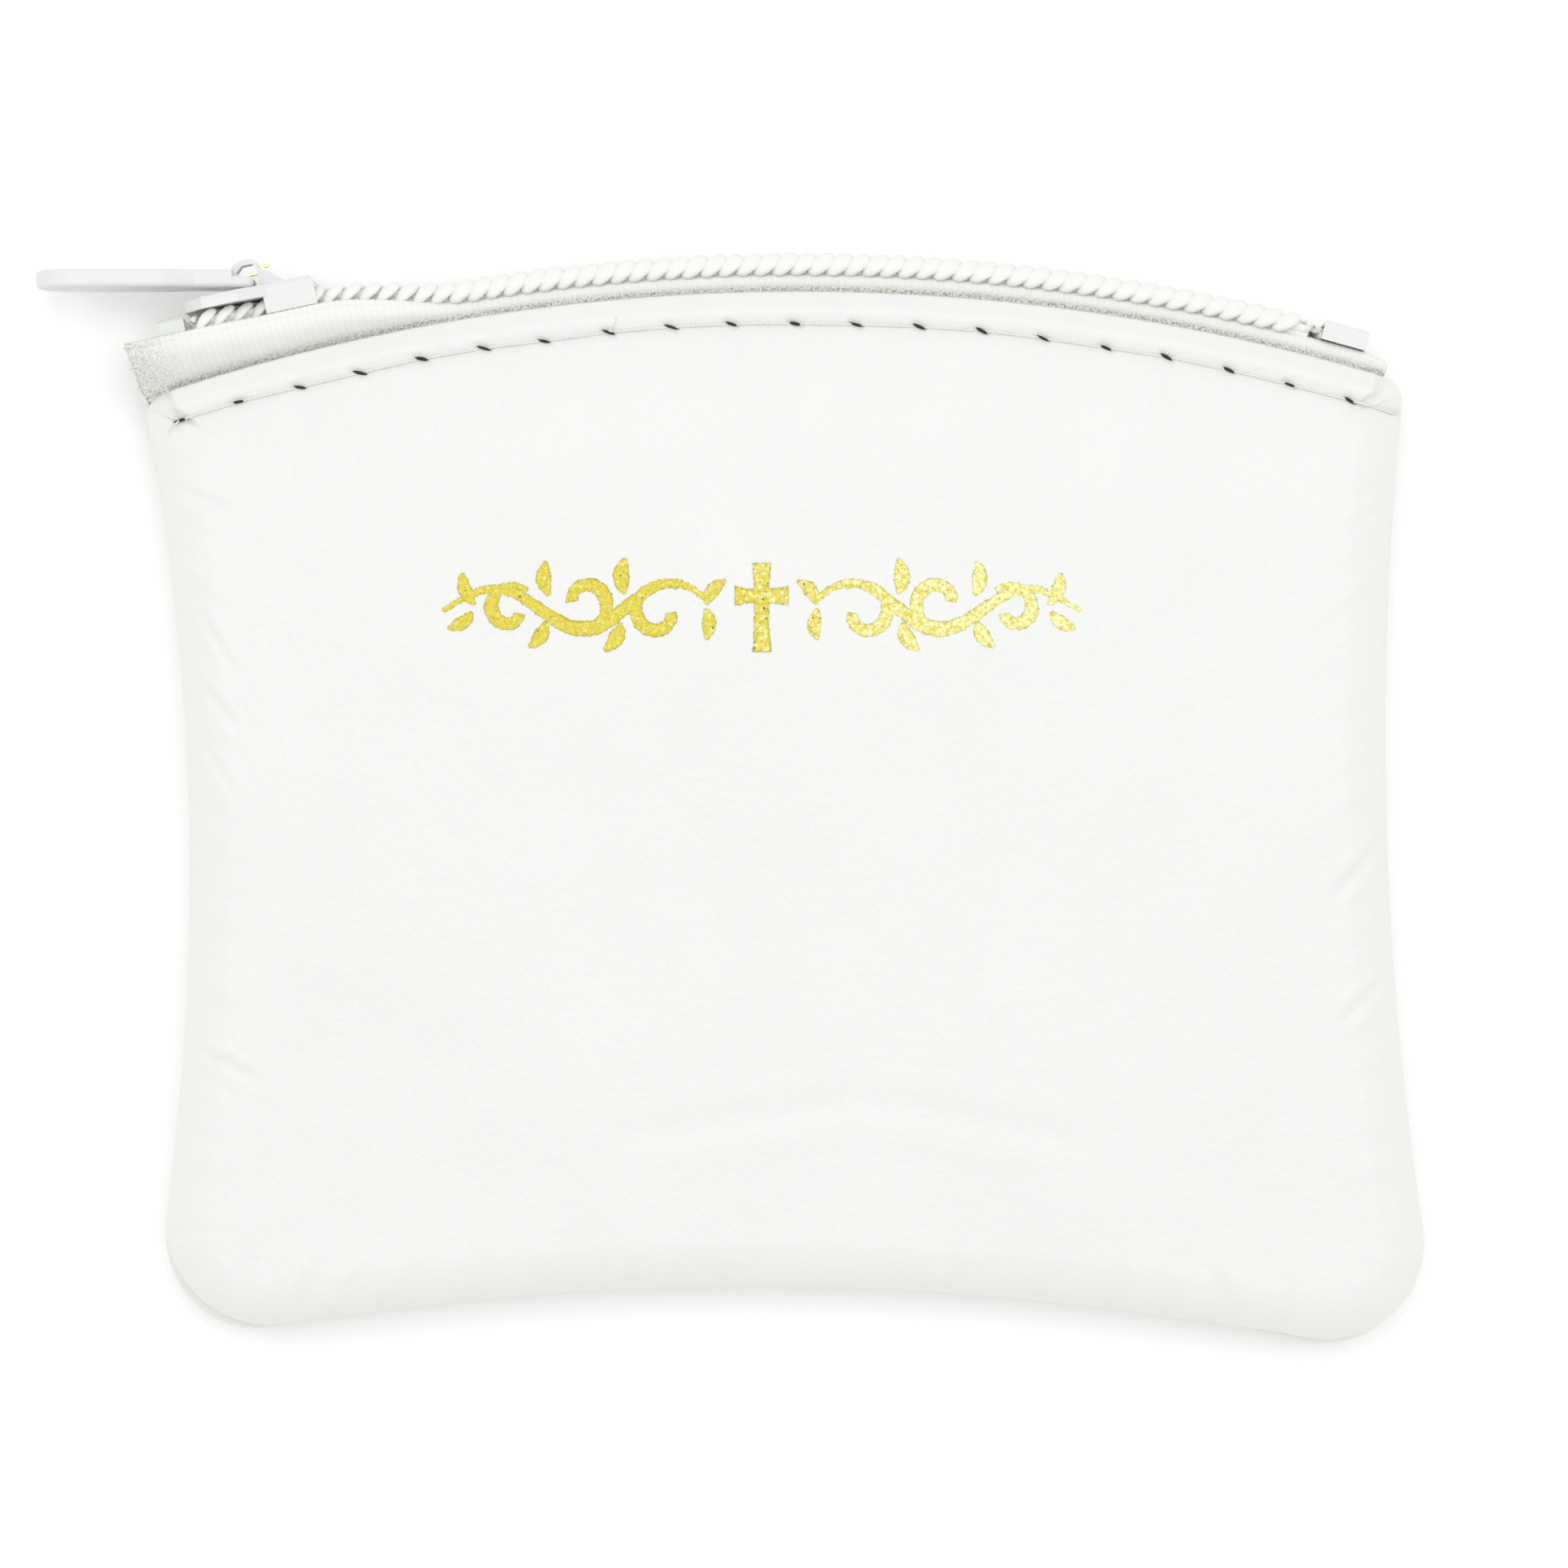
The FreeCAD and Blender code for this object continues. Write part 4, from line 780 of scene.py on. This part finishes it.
def two_ply(path, ply_radius, turns):
    """Two strands twisted round each other along a path."""
    tangent = units(np.gradient(path, axis=0))
    across = np.cross(tangent, np.array([0.0, 0.0, 1.0]))
    across /= np.maximum(np.linalg.norm(across, axis=1), 1e-6)[:, None]
    over = np.cross(across, tangent)
    turn = np.linspace(0, 2 * math.pi * turns, len(path))
    parts = []
    for phase in (0.0, math.pi):
        swing = across * np.cos(turn + phase)[:, None] + over * np.sin(turn + phase)[:, None]
        parts.append(tube(path + swing * ply_radius * 0.8, ply_radius, sides=6))
    return parts


def needle_thread():
    """Front needle thread of the zip seam."""
    parts = []
    for start, end in zip(HOLES, HOLES[1:]):
        parts += two_ply(needle_path(start, end), 0.07, 5.5)
    return merged(parts)


def bobbin_thread():
    """Front bobbin thread, straight along the inside of the tape."""
    angles = np.linspace(STITCH_FIRST + 0.6, STITCH_LAST - 0.6, 420)
    flat = polar(angles, STITCH_RADIUS)
    at_hole = 0.5 + 0.5 * np.cos(2 * math.pi * (angles - STITCH_FIRST) / STITCH_STEP)
    height = top_height(flat) - LIP_RISE - 0.35 - 0.28 + 0.12 * at_hole**4
    return merged(two_ply(raised(flat, height), 0.085, 90))


SEAM_STITCH, SEAM_THREAD = 3.6, 0.15


def seam_thread():
    """Hidden lockstitch through both seam allowances."""
    ring = outline(2.2)
    ring = np.roll(ring, -MOUTH_COUNT - CORNER_COUNT, axis=0)[: -MOUTH_COUNT - 2 * CORNER_COUNT]
    run = run_of(ring)
    samples = np.linspace(1.0, run[-1] - 1.0, 700)
    flat = at_runs(ring, run, samples)
    dive = np.exp(-(((samples % SEAM_STITCH) - SEAM_STITCH / 2) ** 2) / 0.10)
    heights = [MID + sign * (1.16 - 1.10 * dive) for sign in (1, -1)]
    return merged([tube(raised(flat, height), SEAM_THREAD, sides=6) for height in heights])


# ---------- zip


def tape_section(angle):
    """Centre line of the front tape's cross-section: radius and height from the mid-plane."""
    rise = lifted(angle)
    level = seat(angle)
    aside = parted(polar(angle, level)[..., 0])
    lip = LIP_GAP - 0.2

    def between(plain, in_slider):
        radius = level + plain[0] + (in_slider[0] - plain[0]) * rise
        high = plain[1] + (in_slider[1] - plain[1]) * rise + 0.5 * aside
        return radius, high

    flat = np.zeros_like(level)
    points = [
        (flat + MOUTH_RADIUS - TAPE_DEPTH, flat + lip + TAPE_DEPTH * LIP_SLOPE),
        (flat + MOUTH_RADIUS - 2.5, flat + lip + 2.5 * LIP_SLOPE),
        (flat + MOUTH_RADIUS - 0.2, flat + lip + 0.03),
        between((-0.62, 1.98), (-1.2, 3.18)),
        between((-0.30, 1.86), (-0.45, 3.22)),
        between((-0.17, 1.55), (-0.17, 3.0)),
        (level - 0.17, 0.6 + aside),
    ]
    return np.array([[radius, high] for radius, high in points])


def resampled(control, count):
    """Points along a smooth line through control points, for all angles at once."""
    where = np.linspace(0, len(control) - 1, count)
    low = np.clip(where.astype(int), 0, len(control) - 2)
    part = (where - low)[:, None, None]
    before, start, end = control[np.maximum(low - 1, 0)], control[low], control[low + 1]
    after = control[np.minimum(low + 2, len(control) - 1)]
    cube, square = part**3, part**2
    return (
        (2 * cube - 3 * square + 1) * start
        + (cube - 2 * square + part) * (end - before) / 2
        + (-2 * cube + 3 * square) * end
        + (cube - square) * (after - start) / 2
    )


def pinched(section, angles):
    """The section squeezed flat near both side seams, where the two panels meet."""
    flat = polar(angles[None, :], section[:, 0])
    inset = np.clip(np.minimum(*from_sides(flat)), 0.0, EDGE_ROUND)
    drop = EDGE_ROUND - np.sqrt(EDGE_ROUND**2 - (EDGE_ROUND - inset) ** 2)
    room = np.maximum(top_height(flat) - MID - LEATHER - 0.25 - drop * 0.9, 0.22)
    under = smooth((135.1 - section[:, 0]) / 0.9)
    high = section[:, 1]
    section[:, 1] = high + (np.minimum(high, room) - high) * under
    return section


TAPE_ROWS, RIB_PITCH = 40, 0.44


def tape():
    """Front zip tape with its woven ribs, and each vertex's weave and its painted shade along the
    leather's edge, with darker speckles at the left cut end.
    """
    angles = np.linspace(TAPE_LEFT, TAPE_RIGHT, 820)
    line = resampled(pinched(tape_section(angles), angles), TAPE_ROWS)
    across = np.gradient(line, axis=0)
    across /= np.linalg.norm(across, axis=1)[:, None, :]
    normal = np.stack([across[:, 1], -across[:, 0]], axis=1)
    length = angles * math.pi / 180 * SEAT_RADIUS
    rib = 0.5 + 0.5 * np.sin(2 * math.pi * length / RIB_PITCH)
    row = np.arange(TAPE_ROWS)[:, None]
    weave = rib[None, :] * (0.72 + 0.28 * np.sin(row * 2.1 + 3.0 * np.sin(length[None, :] * 7.1)))
    half = 0.160 + 0.024 * weave
    out = normal * half[:, None, :]
    ring = np.concatenate([line - out, (line + out)[::-1]])
    flat = polar(angles[None, :], ring[:, 0])
    vertices = raised(flat, MID + ring[:, 1])
    fray = np.random.default_rng(5).normal(0, 0.14, len(ring))
    vertices[:, 0, 0] += fray - 0.1
    rounding = smooth((ring[:, 0] - 134.9) / 1.1) * 1.1
    ending = smooth((angles - TAPE_RIGHT + 1.0) / 1.0) ** 2
    vertices[..., 0] -= rounding * ending[None, :]
    faces = grid_faces(len(ring), len(angles), closed_rows=True, flip=True)
    first = [i * len(angles) for i in range(len(ring))]
    ends = [first[::-1], [i + len(angles) - 1 for i in first]]
    # painted shade in the crevice where the tape leaves the leather's mouth edge, plus a darker
    # left cut end
    grime = bell(ring[:, 0] - MOUTH_RADIUS - 0.14, 0.24)
    grime = np.maximum(grime, 0.55 * bell(angles - TAPE_LEFT, 1.1)[None, :])
    marks = {"weave": np.concatenate([weave, weave[::-1]]), "grime": grime}
    return (vertices.reshape(-1, 3), faces + ends), marks


def chain_frame(angle, above, high):
    """Point above the seat at an angle, at a height that the slider's wedge moves aside."""
    flat = polar(angle, seat(angle) + above)
    return raised(flat, MID + high + parted(flat[..., 0]))


COIL_LEFT, COIL_RIGHT = -16.75, 14.65
COIL_STEP = COIL_PITCH * 180 / math.pi / SEAT_RADIUS


def coil(shift):
    """Front coil: one nylon filament wound in flattened turns whose heads pass the mid-plane."""
    turns = (COIL_RIGHT - COIL_LEFT) / COIL_STEP
    steps = np.linspace(0, turns, int(turns * 26))
    turn = 2 * math.pi * steps
    angle = COIL_LEFT + (steps + shift) * COIL_STEP
    high = 0.86 + 1.03 * np.cos(turn) - 0.10 * np.cos(2 * turn)
    above = 0.50 + 0.27 * np.sin(turn)
    radius = 0.225 + 0.03 * np.exp(-(((turn % (2 * math.pi)) - math.pi) ** 2) / 0.3)
    return tube(chain_frame(angle, above, high), radius, sides=8)


def filler_cord():
    """Front filler cord, inside the coil."""
    angle = np.linspace(COIL_LEFT, COIL_RIGHT, 260)
    return merged(two_ply(chain_frame(angle, 0.5, 1.25), 0.09, 60))


def wrap(start, rng):
    """One plump wrap of yarn over a turn of the coil."""
    run, places = np.linspace(0, 1, 18), np.linspace(0, 1, 5)
    lean = 0.95 * COIL_STEP * smooth(run * 1.15)
    above = np.interp(run, places, [-0.04, 0.20, 0.62, 0.95, 0.72])
    high = np.interp(run, places, [1.78, 2.06, 2.14, 1.72, 0.55])
    fill = np.sin(math.pi * np.clip(run, 0.06, 0.97)) ** 0.45
    plump = (0.63 - 0.20 * float(lifted(start))) * fill * rng.uniform(0.96, 1.04)
    path = chain_frame(start + lean + rng.normal(0, 0.010), above, high)
    middle = units(np.gradient(path, axis=0))[9]
    turn = math.radians(start)
    face = np.cross(middle, [math.cos(turn), -math.sin(turn), 0.0])
    return tube(path, plump, sides=10, flatten=(face / np.linalg.norm(face), 0.48))


def coil_wraps(shift):
    """Chain stitching: yarn wraps side by side like a rope, a locking thread, and their bed."""
    count = int((COIL_RIGHT - COIL_LEFT) / COIL_STEP) - 1
    rng = np.random.default_rng(11)
    parts = [wrap(COIL_LEFT + (index + 0.2 + shift) * COIL_STEP, rng) for index in range(count)]
    angle = np.linspace(COIL_LEFT + 0.3, COIL_RIGHT - 0.5, 520)
    wave = 2 * math.pi * (angle - COIL_LEFT) / COIL_STEP
    path = chain_frame(angle, 0.98 + 0.05 * np.sin(wave), 0.62 + 0.10 * np.cos(wave))
    parts.append(tube(path, 0.14, sides=6))
    bed = np.linspace(COIL_LEFT + 0.2, COIL_RIGHT - 0.4, 420)
    ripple = 0.04 * np.cos(2 * math.pi * (bed - COIL_LEFT) / (0.5 * COIL_STEP))
    for above, high, thick in ((0.02, 1.52, 0.30), (0.42, 1.62, 0.32)):
        parts.append(tube(chain_frame(bed, above + ripple, high), thick, sides=8))
    return merged(parts)


# ---------- foil ornament


def spiral(centre, radius, start, turns):
    """Points of a scroll that winds in from start (radians) by turns, clockwise."""
    steps = np.linspace(0, 1, 60)
    angle = start - 2 * math.pi * turns * steps
    size = radius * (1 - 0.62 * steps)
    return centre + size[:, None] * pairs(np.cos(angle), np.sin(angle))


def swelling(count, tip, belly, end):
    """Stroke widths from tip through belly to end."""
    return np.interp(np.linspace(0, 1, count), [0, 0.45, 1], [tip, belly, end])


def leaf(base, direction, length, width):
    """Centre line and widths of a pointed leaf."""
    steps = np.linspace(0, 1, 18)
    turn = math.radians(direction)
    bend = turn + 0.5 * steps
    along = pairs(np.cos(bend), np.sin(bend)) * (length * steps)[:, None]
    widths = width * np.sin(math.pi * np.clip(steps, 0.02, 0.98)) ** 0.8 + 0.12
    return np.array(base) + along, widths


def scroll_strokes():
    """Strokes of the right-hand half of the ornament, about its middle."""
    strokes = []
    steps = np.linspace(0, 1, 90)
    wave = 1.7 * np.sin(2 * math.pi * steps * 1.5 + 0.2) * (1 - 0.35 * steps)
    strokes.append((pairs(3.4 + 17.4 * steps, wave), swelling(90, 0.35, 1.05, 0.30)))
    for centre, radius, start, turns in (
        ((6.7, -0.35), 2.0, 2.2, 0.85),
        ((11.6, 0.35), 2.0, -0.9, 0.85),
        ((16.4, -0.15), 1.7, 2.3, 0.80),
    ):
        strokes.append((spiral(centre, radius, start, turns), swelling(60, 0.30, 0.95, 0.75)))
    for base, direction, length, width in (
        ((8.9, 0.9), 62, 2.3, 0.95),
        ((9.2, -1.0), -88, 2.1, 0.90),
        ((13.9, 0.8), 58, 2.2, 0.90),
        ((14.1, -0.9), -86, 2.0, 0.85),
        ((18.7, 0.2), 40, 2.2, 0.80),
        ((18.9, -0.3), -62, 1.9, 0.75),
        ((3.6, 0.2), 100, 2.0, 0.80),
        ((3.7, -0.1), -120, 2.0, 0.80),
    ):
        strokes.append(leaf(base, direction, length, width))
    return strokes


FOIL_STEP, FOIL_THICK = 0.0015, 0.10


def ribbon(line, widths, level):
    """Flat stroke at a level above the panel, with an edge made ragged by the leather's grain."""
    run = run_of(line)
    fine = np.linspace(0, run[-1], max(4, int(run[-1] / 0.11)))
    line = at_runs(line, run, fine)
    widths = np.interp(fine, run, widths)
    ragged = np.random.default_rng(int(1e4 * level) + 9).uniform(-0.055, 0.055, (len(fine), 2))
    tangent = units(np.gradient(line, axis=0))
    side = pairs(-tangent[:, 1], tangent[:, 0])
    columns = np.linspace(-0.5, 0.5, 7)
    reach_out = columns[None, :] * widths[:, None]
    reach_out[:, [0, -1]] += ragged
    flat = line[:, None, :] + side[:, None, :] * reach_out[..., None]
    height = np.broadcast_to(level - 0.03 * (2 * columns) ** 6, flat.shape[:2])
    top = raised(flat, height).reshape(-1, 3)
    under = top.copy()
    under[:, 2] -= FOIL_THICK
    rows, count = len(line), len(columns)
    faces = grid_faces(rows, count, flip=True) + grid_faces(rows, count, first=len(top))
    rim = [r * count for r in range(rows)] + [(rows - 1) * count + c for c in range(1, count)]
    rim += [r * count + count - 1 for r in range(rows - 2, -1, -1)] + list(range(count - 2, 0, -1))
    faces += [[a, b, b + len(top), a + len(top)] for a, b in zip(rim, rim[1:] + rim[:1])]
    return np.concatenate([top, under]), faces


FOIL_MIDDLE = np.array([-2.1, 12.0])


def foil():
    """Generic scroll ornament with a small plain cross, and each vertex's sheen and pits."""
    parts = []
    level = 0.0
    for sign in (1, -1):
        for line, widths in scroll_strokes():
            parts.append(ribbon(line * np.array([sign, 1.0]) + FOIL_MIDDLE, widths, level))
            level += FOIL_STEP
    steps = np.linspace(-1, 1, 24)
    for line in (pairs(0 * steps, 2.9 * steps), pairs(1.75 * steps, 0 * steps + 0.75)):
        parts.append(ribbon(line + FOIL_MIDDLE, 0.95 + 0.35 * np.abs(steps) ** 3, level))
        level += FOIL_STEP
    vertices, faces = merged(parts)
    vertices[:, 2] += face_height(vertices[:, :2]) + 0.03
    across = vertices[:, 0] - FOIL_MIDDLE[0]
    marks = {"sheen": smooth((across + 14.0) / 30.0), "pits": bell(across - 1.0, 9.0)}
    return (vertices, faces), marks


# ---------- loose fibres


def fibre(start, heading, length, radius, seed):
    """One loose fibre that curls away from start."""
    rng = np.random.default_rng(seed)
    steps = np.linspace(0, 1, 20)
    bend = rng.normal(0, 0.9)
    turn = math.radians(heading) + bend * steps + 0.3 * np.sin(steps * 7 + rng.uniform(0, 6))
    flat = start[:2] + np.cumsum(pairs(np.cos(turn), np.sin(turn)), axis=0) * (length / 20)
    path = raised(flat, start[2] + rng.normal(0, 0.25) * steps)
    return tube(path, radius * (1 - 0.5 * steps), sides=5)


def frayed_end():
    """Loose yarn at the tape's cut end beside the top stops."""
    rng = np.random.default_rng(3)
    parts = []
    for index in range(34):
        flat = polar(TAPE_LEFT + 0.15, rng.uniform(133.2, 137.4))
        start = (*flat, MID + rng.uniform(-3.0, 3.0))
        heading = 195 + rng.normal(0, 24)
        parts.append(fibre(start, heading, rng.uniform(0.4, 1.1), 0.035, 100 + index))
    return merged(parts)


def thread_tails():
    """Short tail of needle thread left above the hem, and one at the start of the seam."""
    parts = []
    tails = ((7, 35, 1.9, 41), (7, 55, 1.2, 42), (0, 150, 2.0, 43), (0, 200, 1.4, 44))
    for hole, heading, length, seed in tails:
        x, y = HOLES[hole]
        height = float(face_height(np.array([[x, y]]))[0]) + 0.1
        parts.append(fibre((x, y, height), heading, length, 0.06, seed))
    return merged(parts)


# ---------- assembling the pouch


def both_sides(name, node, material, slot_name, front, back, marks=None):
    """Front and back copies of a zip piece: the front's transform is baked, the back rides."""
    for end, part in (("front", front), ("back", mirrored(back))):
        piece = new_object(name + "_" + end, *part, material, slot_name, marks)
        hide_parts(node + "_" + end)
        if end == "front":
            bends_open(piece)
        else:
            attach(piece, "pouch_back")


def build_pouch():
    """Every piece of the pouch; the back's pieces ride on the back body."""
    leather = leather_material()
    dark, light = (0.74, 0.73, 0.69), (0.86, 0.85, 0.81)
    noise = (0.35, 6.0, 0.75)
    suede = one_noise_material("leather_flesh_side", dark, light, 0.9, noise, (0.12, 0.8))
    dark, light = (0.012, 0.012, 0.010), (0.06, 0.055, 0.045)
    shadow = one_noise_material("slit_shadow", dark, light, 0.9, (0.2, 3.0))
    twist = (0.7, (0.07, 5.0, 0.7), (0.03, 0.7))
    dark, light = (0.72, 0.72, 0.70), (0.80, 0.80, 0.785)
    thread = one_noise_material("sewing_thread", dark, light, *twist)
    dark, light = (0.80, 0.79, 0.765), (0.88, 0.875, 0.85)
    yarn = one_noise_material("zip_yarn", dark, light, *twist)
    front = panel("front_leather", 1, FRONT_CREASES, FRONT_SEED, leather, suede)
    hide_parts("front_panel")
    bends_open(front)
    back = panel("back_leather", -1, BACK_CREASES, BACK_SEED, leather, suede)
    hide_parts("back_panel")
    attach(back, "pouch_back")

    cloth, marks = tape()
    both_sides("zip_tape_cloth", "zip_tape", tape_material(), "zip_tape", cloth, cloth, marks)
    nylon = nylon_material("coil_nylon", (0.78, 0.79, 0.76))
    both_sides("zip_coil_filament", "zip_coil", nylon, "coil_nylon", coil(0.0), coil(0.5))
    cord = filler_cord()
    both_sides("coil_filler", "coil_cord", yarn, "zip_yarn", cord, cord)
    both_sides("coil_wraps", "coil_stitching", yarn, "zip_yarn", coil_wraps(0.0), coil_wraps(0.5))
    for name, stitches in (("needle_thread", needle_thread()), ("bobbin_thread", bobbin_thread())):
        both_sides(name, "zip_" + name, thread, "sewing_thread", stitches, stitches)

    seam = new_object("side_seam_stitches", *seam_thread(), thread, "sewing_thread")
    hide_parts("side_seam_thread")
    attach(seam, "pouch_back")

    scrolls, marks = foil()
    ornament = new_object("foil_scrolls", *scrolls, foil_material(), "gold_foil", marks)
    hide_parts("foil_ornament")
    bends_open(ornament)

    # dark sheets of painted shade in the needle slits, front and back
    openings = needle_slits()
    bends_open(new_object("needle_slits", *openings, shadow, "leather"))
    slits = new_object("needle_slits_back", *mirrored(openings), shadow, "leather")
    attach(slits, "pouch_back")
    fray = new_object("frayed_tape_end", *frayed_end(), yarn, "zip_tape")
    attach(fray, "pouch_back")
    bends_open(new_object("loose_thread_tails", *thread_tails(), thread, "sewing_thread"))


def finish_cad_nodes():
    """Materials of the slider's and stops' own CAD pieces."""
    paint = paint_material("slider_enamel", (0.74, 0.735, 0.73), (0.45, 0.46, 0.49))
    # painted shade: the crown gets a bluish, darker copy of the slider's enamel
    crown_shaded_paint = paint_material("crown_enamel_shaded", (0.70, 0.725, 0.74), (0.44, 0.47, 0.52))
    stop_paint = paint_material("stop_enamel", (0.73, 0.735, 0.735), (0.46, 0.48, 0.52))
    clear = nylon_material("stop_nylon", (0.62, 0.64, 0.61))
    finishes = {
        "slider_body": paint,
        "slider_crown": crown_shaded_paint,
        "pull_tab": paint,
        "lock_pin": brass_material(),
        "bottom_stop": stop_paint,
        "top_stop_front": clear,
        "top_stop_back": clear,
    }
    for node, material in finishes.items():
        for material_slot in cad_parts[node].material_slots:
            material_slot.material = material


# ---------- floor, light and camera

FLOOR_WIDTH, FLOOR_GAP = 2.4, -0.02 * MM
WORLD_STRENGTH = 0.87
# Each soft box: name, place, width (m) and power (W).
SOFT_BOXES = (
    ("soft_box_top", (0.03, 0.14, 0.75), 0.40, 1.62),
    ("soft_box_left", (-0.50, 0.20, 0.50), 0.25, 0.34),
    ("soft_box_right", (0.55, 0.10, 0.45), 0.25, 0.20),
)
VIEW_CENTRE, VIEW_WIDTH = (-0.64, 0.48), 103.4
LENS, SENSOR = 150.0, 36.0


def stage():
    """Pale floor, soft box above and a bright even surround."""
    mesh = bpy.data.meshes.new("floor")
    half = FLOOR_WIDTH / 2
    corners = [(-half, -half, 0), (half, -half, 0), (half, half, 0), (-half, half, 0)]
    mesh.from_pydata(corners, [], [(0, 1, 2, 3)])
    pale, paler = (0.968, 0.968, 0.962), (0.975, 0.975, 0.97)
    mesh.materials.append(one_noise_material("pale_floor", pale, paler, 0.9, (40.0, 2.0)))
    floor = placed("floor", mesh, (0, 0, FLOOR_GAP))

    world = bpy.data.worlds.new("soft_surround")
    world.use_nodes = True
    background = world.node_tree.nodes["Background"]
    background.inputs["Color"].default_value = (1.0, 1.0, 1.0, 1.0)
    background.inputs["Strength"].default_value = WORLD_STRENGTH
    bpy.context.scene.world = world

    for name, place, size, power in SOFT_BOXES:
        light = bpy.data.lights.new(name, "AREA")
        light.size, light.energy = size, power
        aim(placed(name, light, place), (0, 0, 0))
    bpy.context.scene.view_settings.view_transform = "Standard"


def aim(thing, target):
    """Turn a light or camera to face a point."""
    direction = Vector(target) - thing.location
    thing.rotation_euler = direction.to_track_quat("-Z", "Y").to_euler()


def camera():
    """Camera straight above the pouch, VIEW_WIDTH wide at its mid-plane."""
    data = bpy.data.cameras.new("camera")
    data.lens, data.sensor_width = LENS, SENSOR
    data.clip_start, data.clip_end = 0.01, 10.0
    place = Vector((*VIEW_CENTRE, MID + VIEW_WIDTH * LENS / SENSOR)) * MM
    bpy.context.scene.camera = placed("camera", data, place)


camera()
stage()
build_pouch()
finish_cad_nodes()
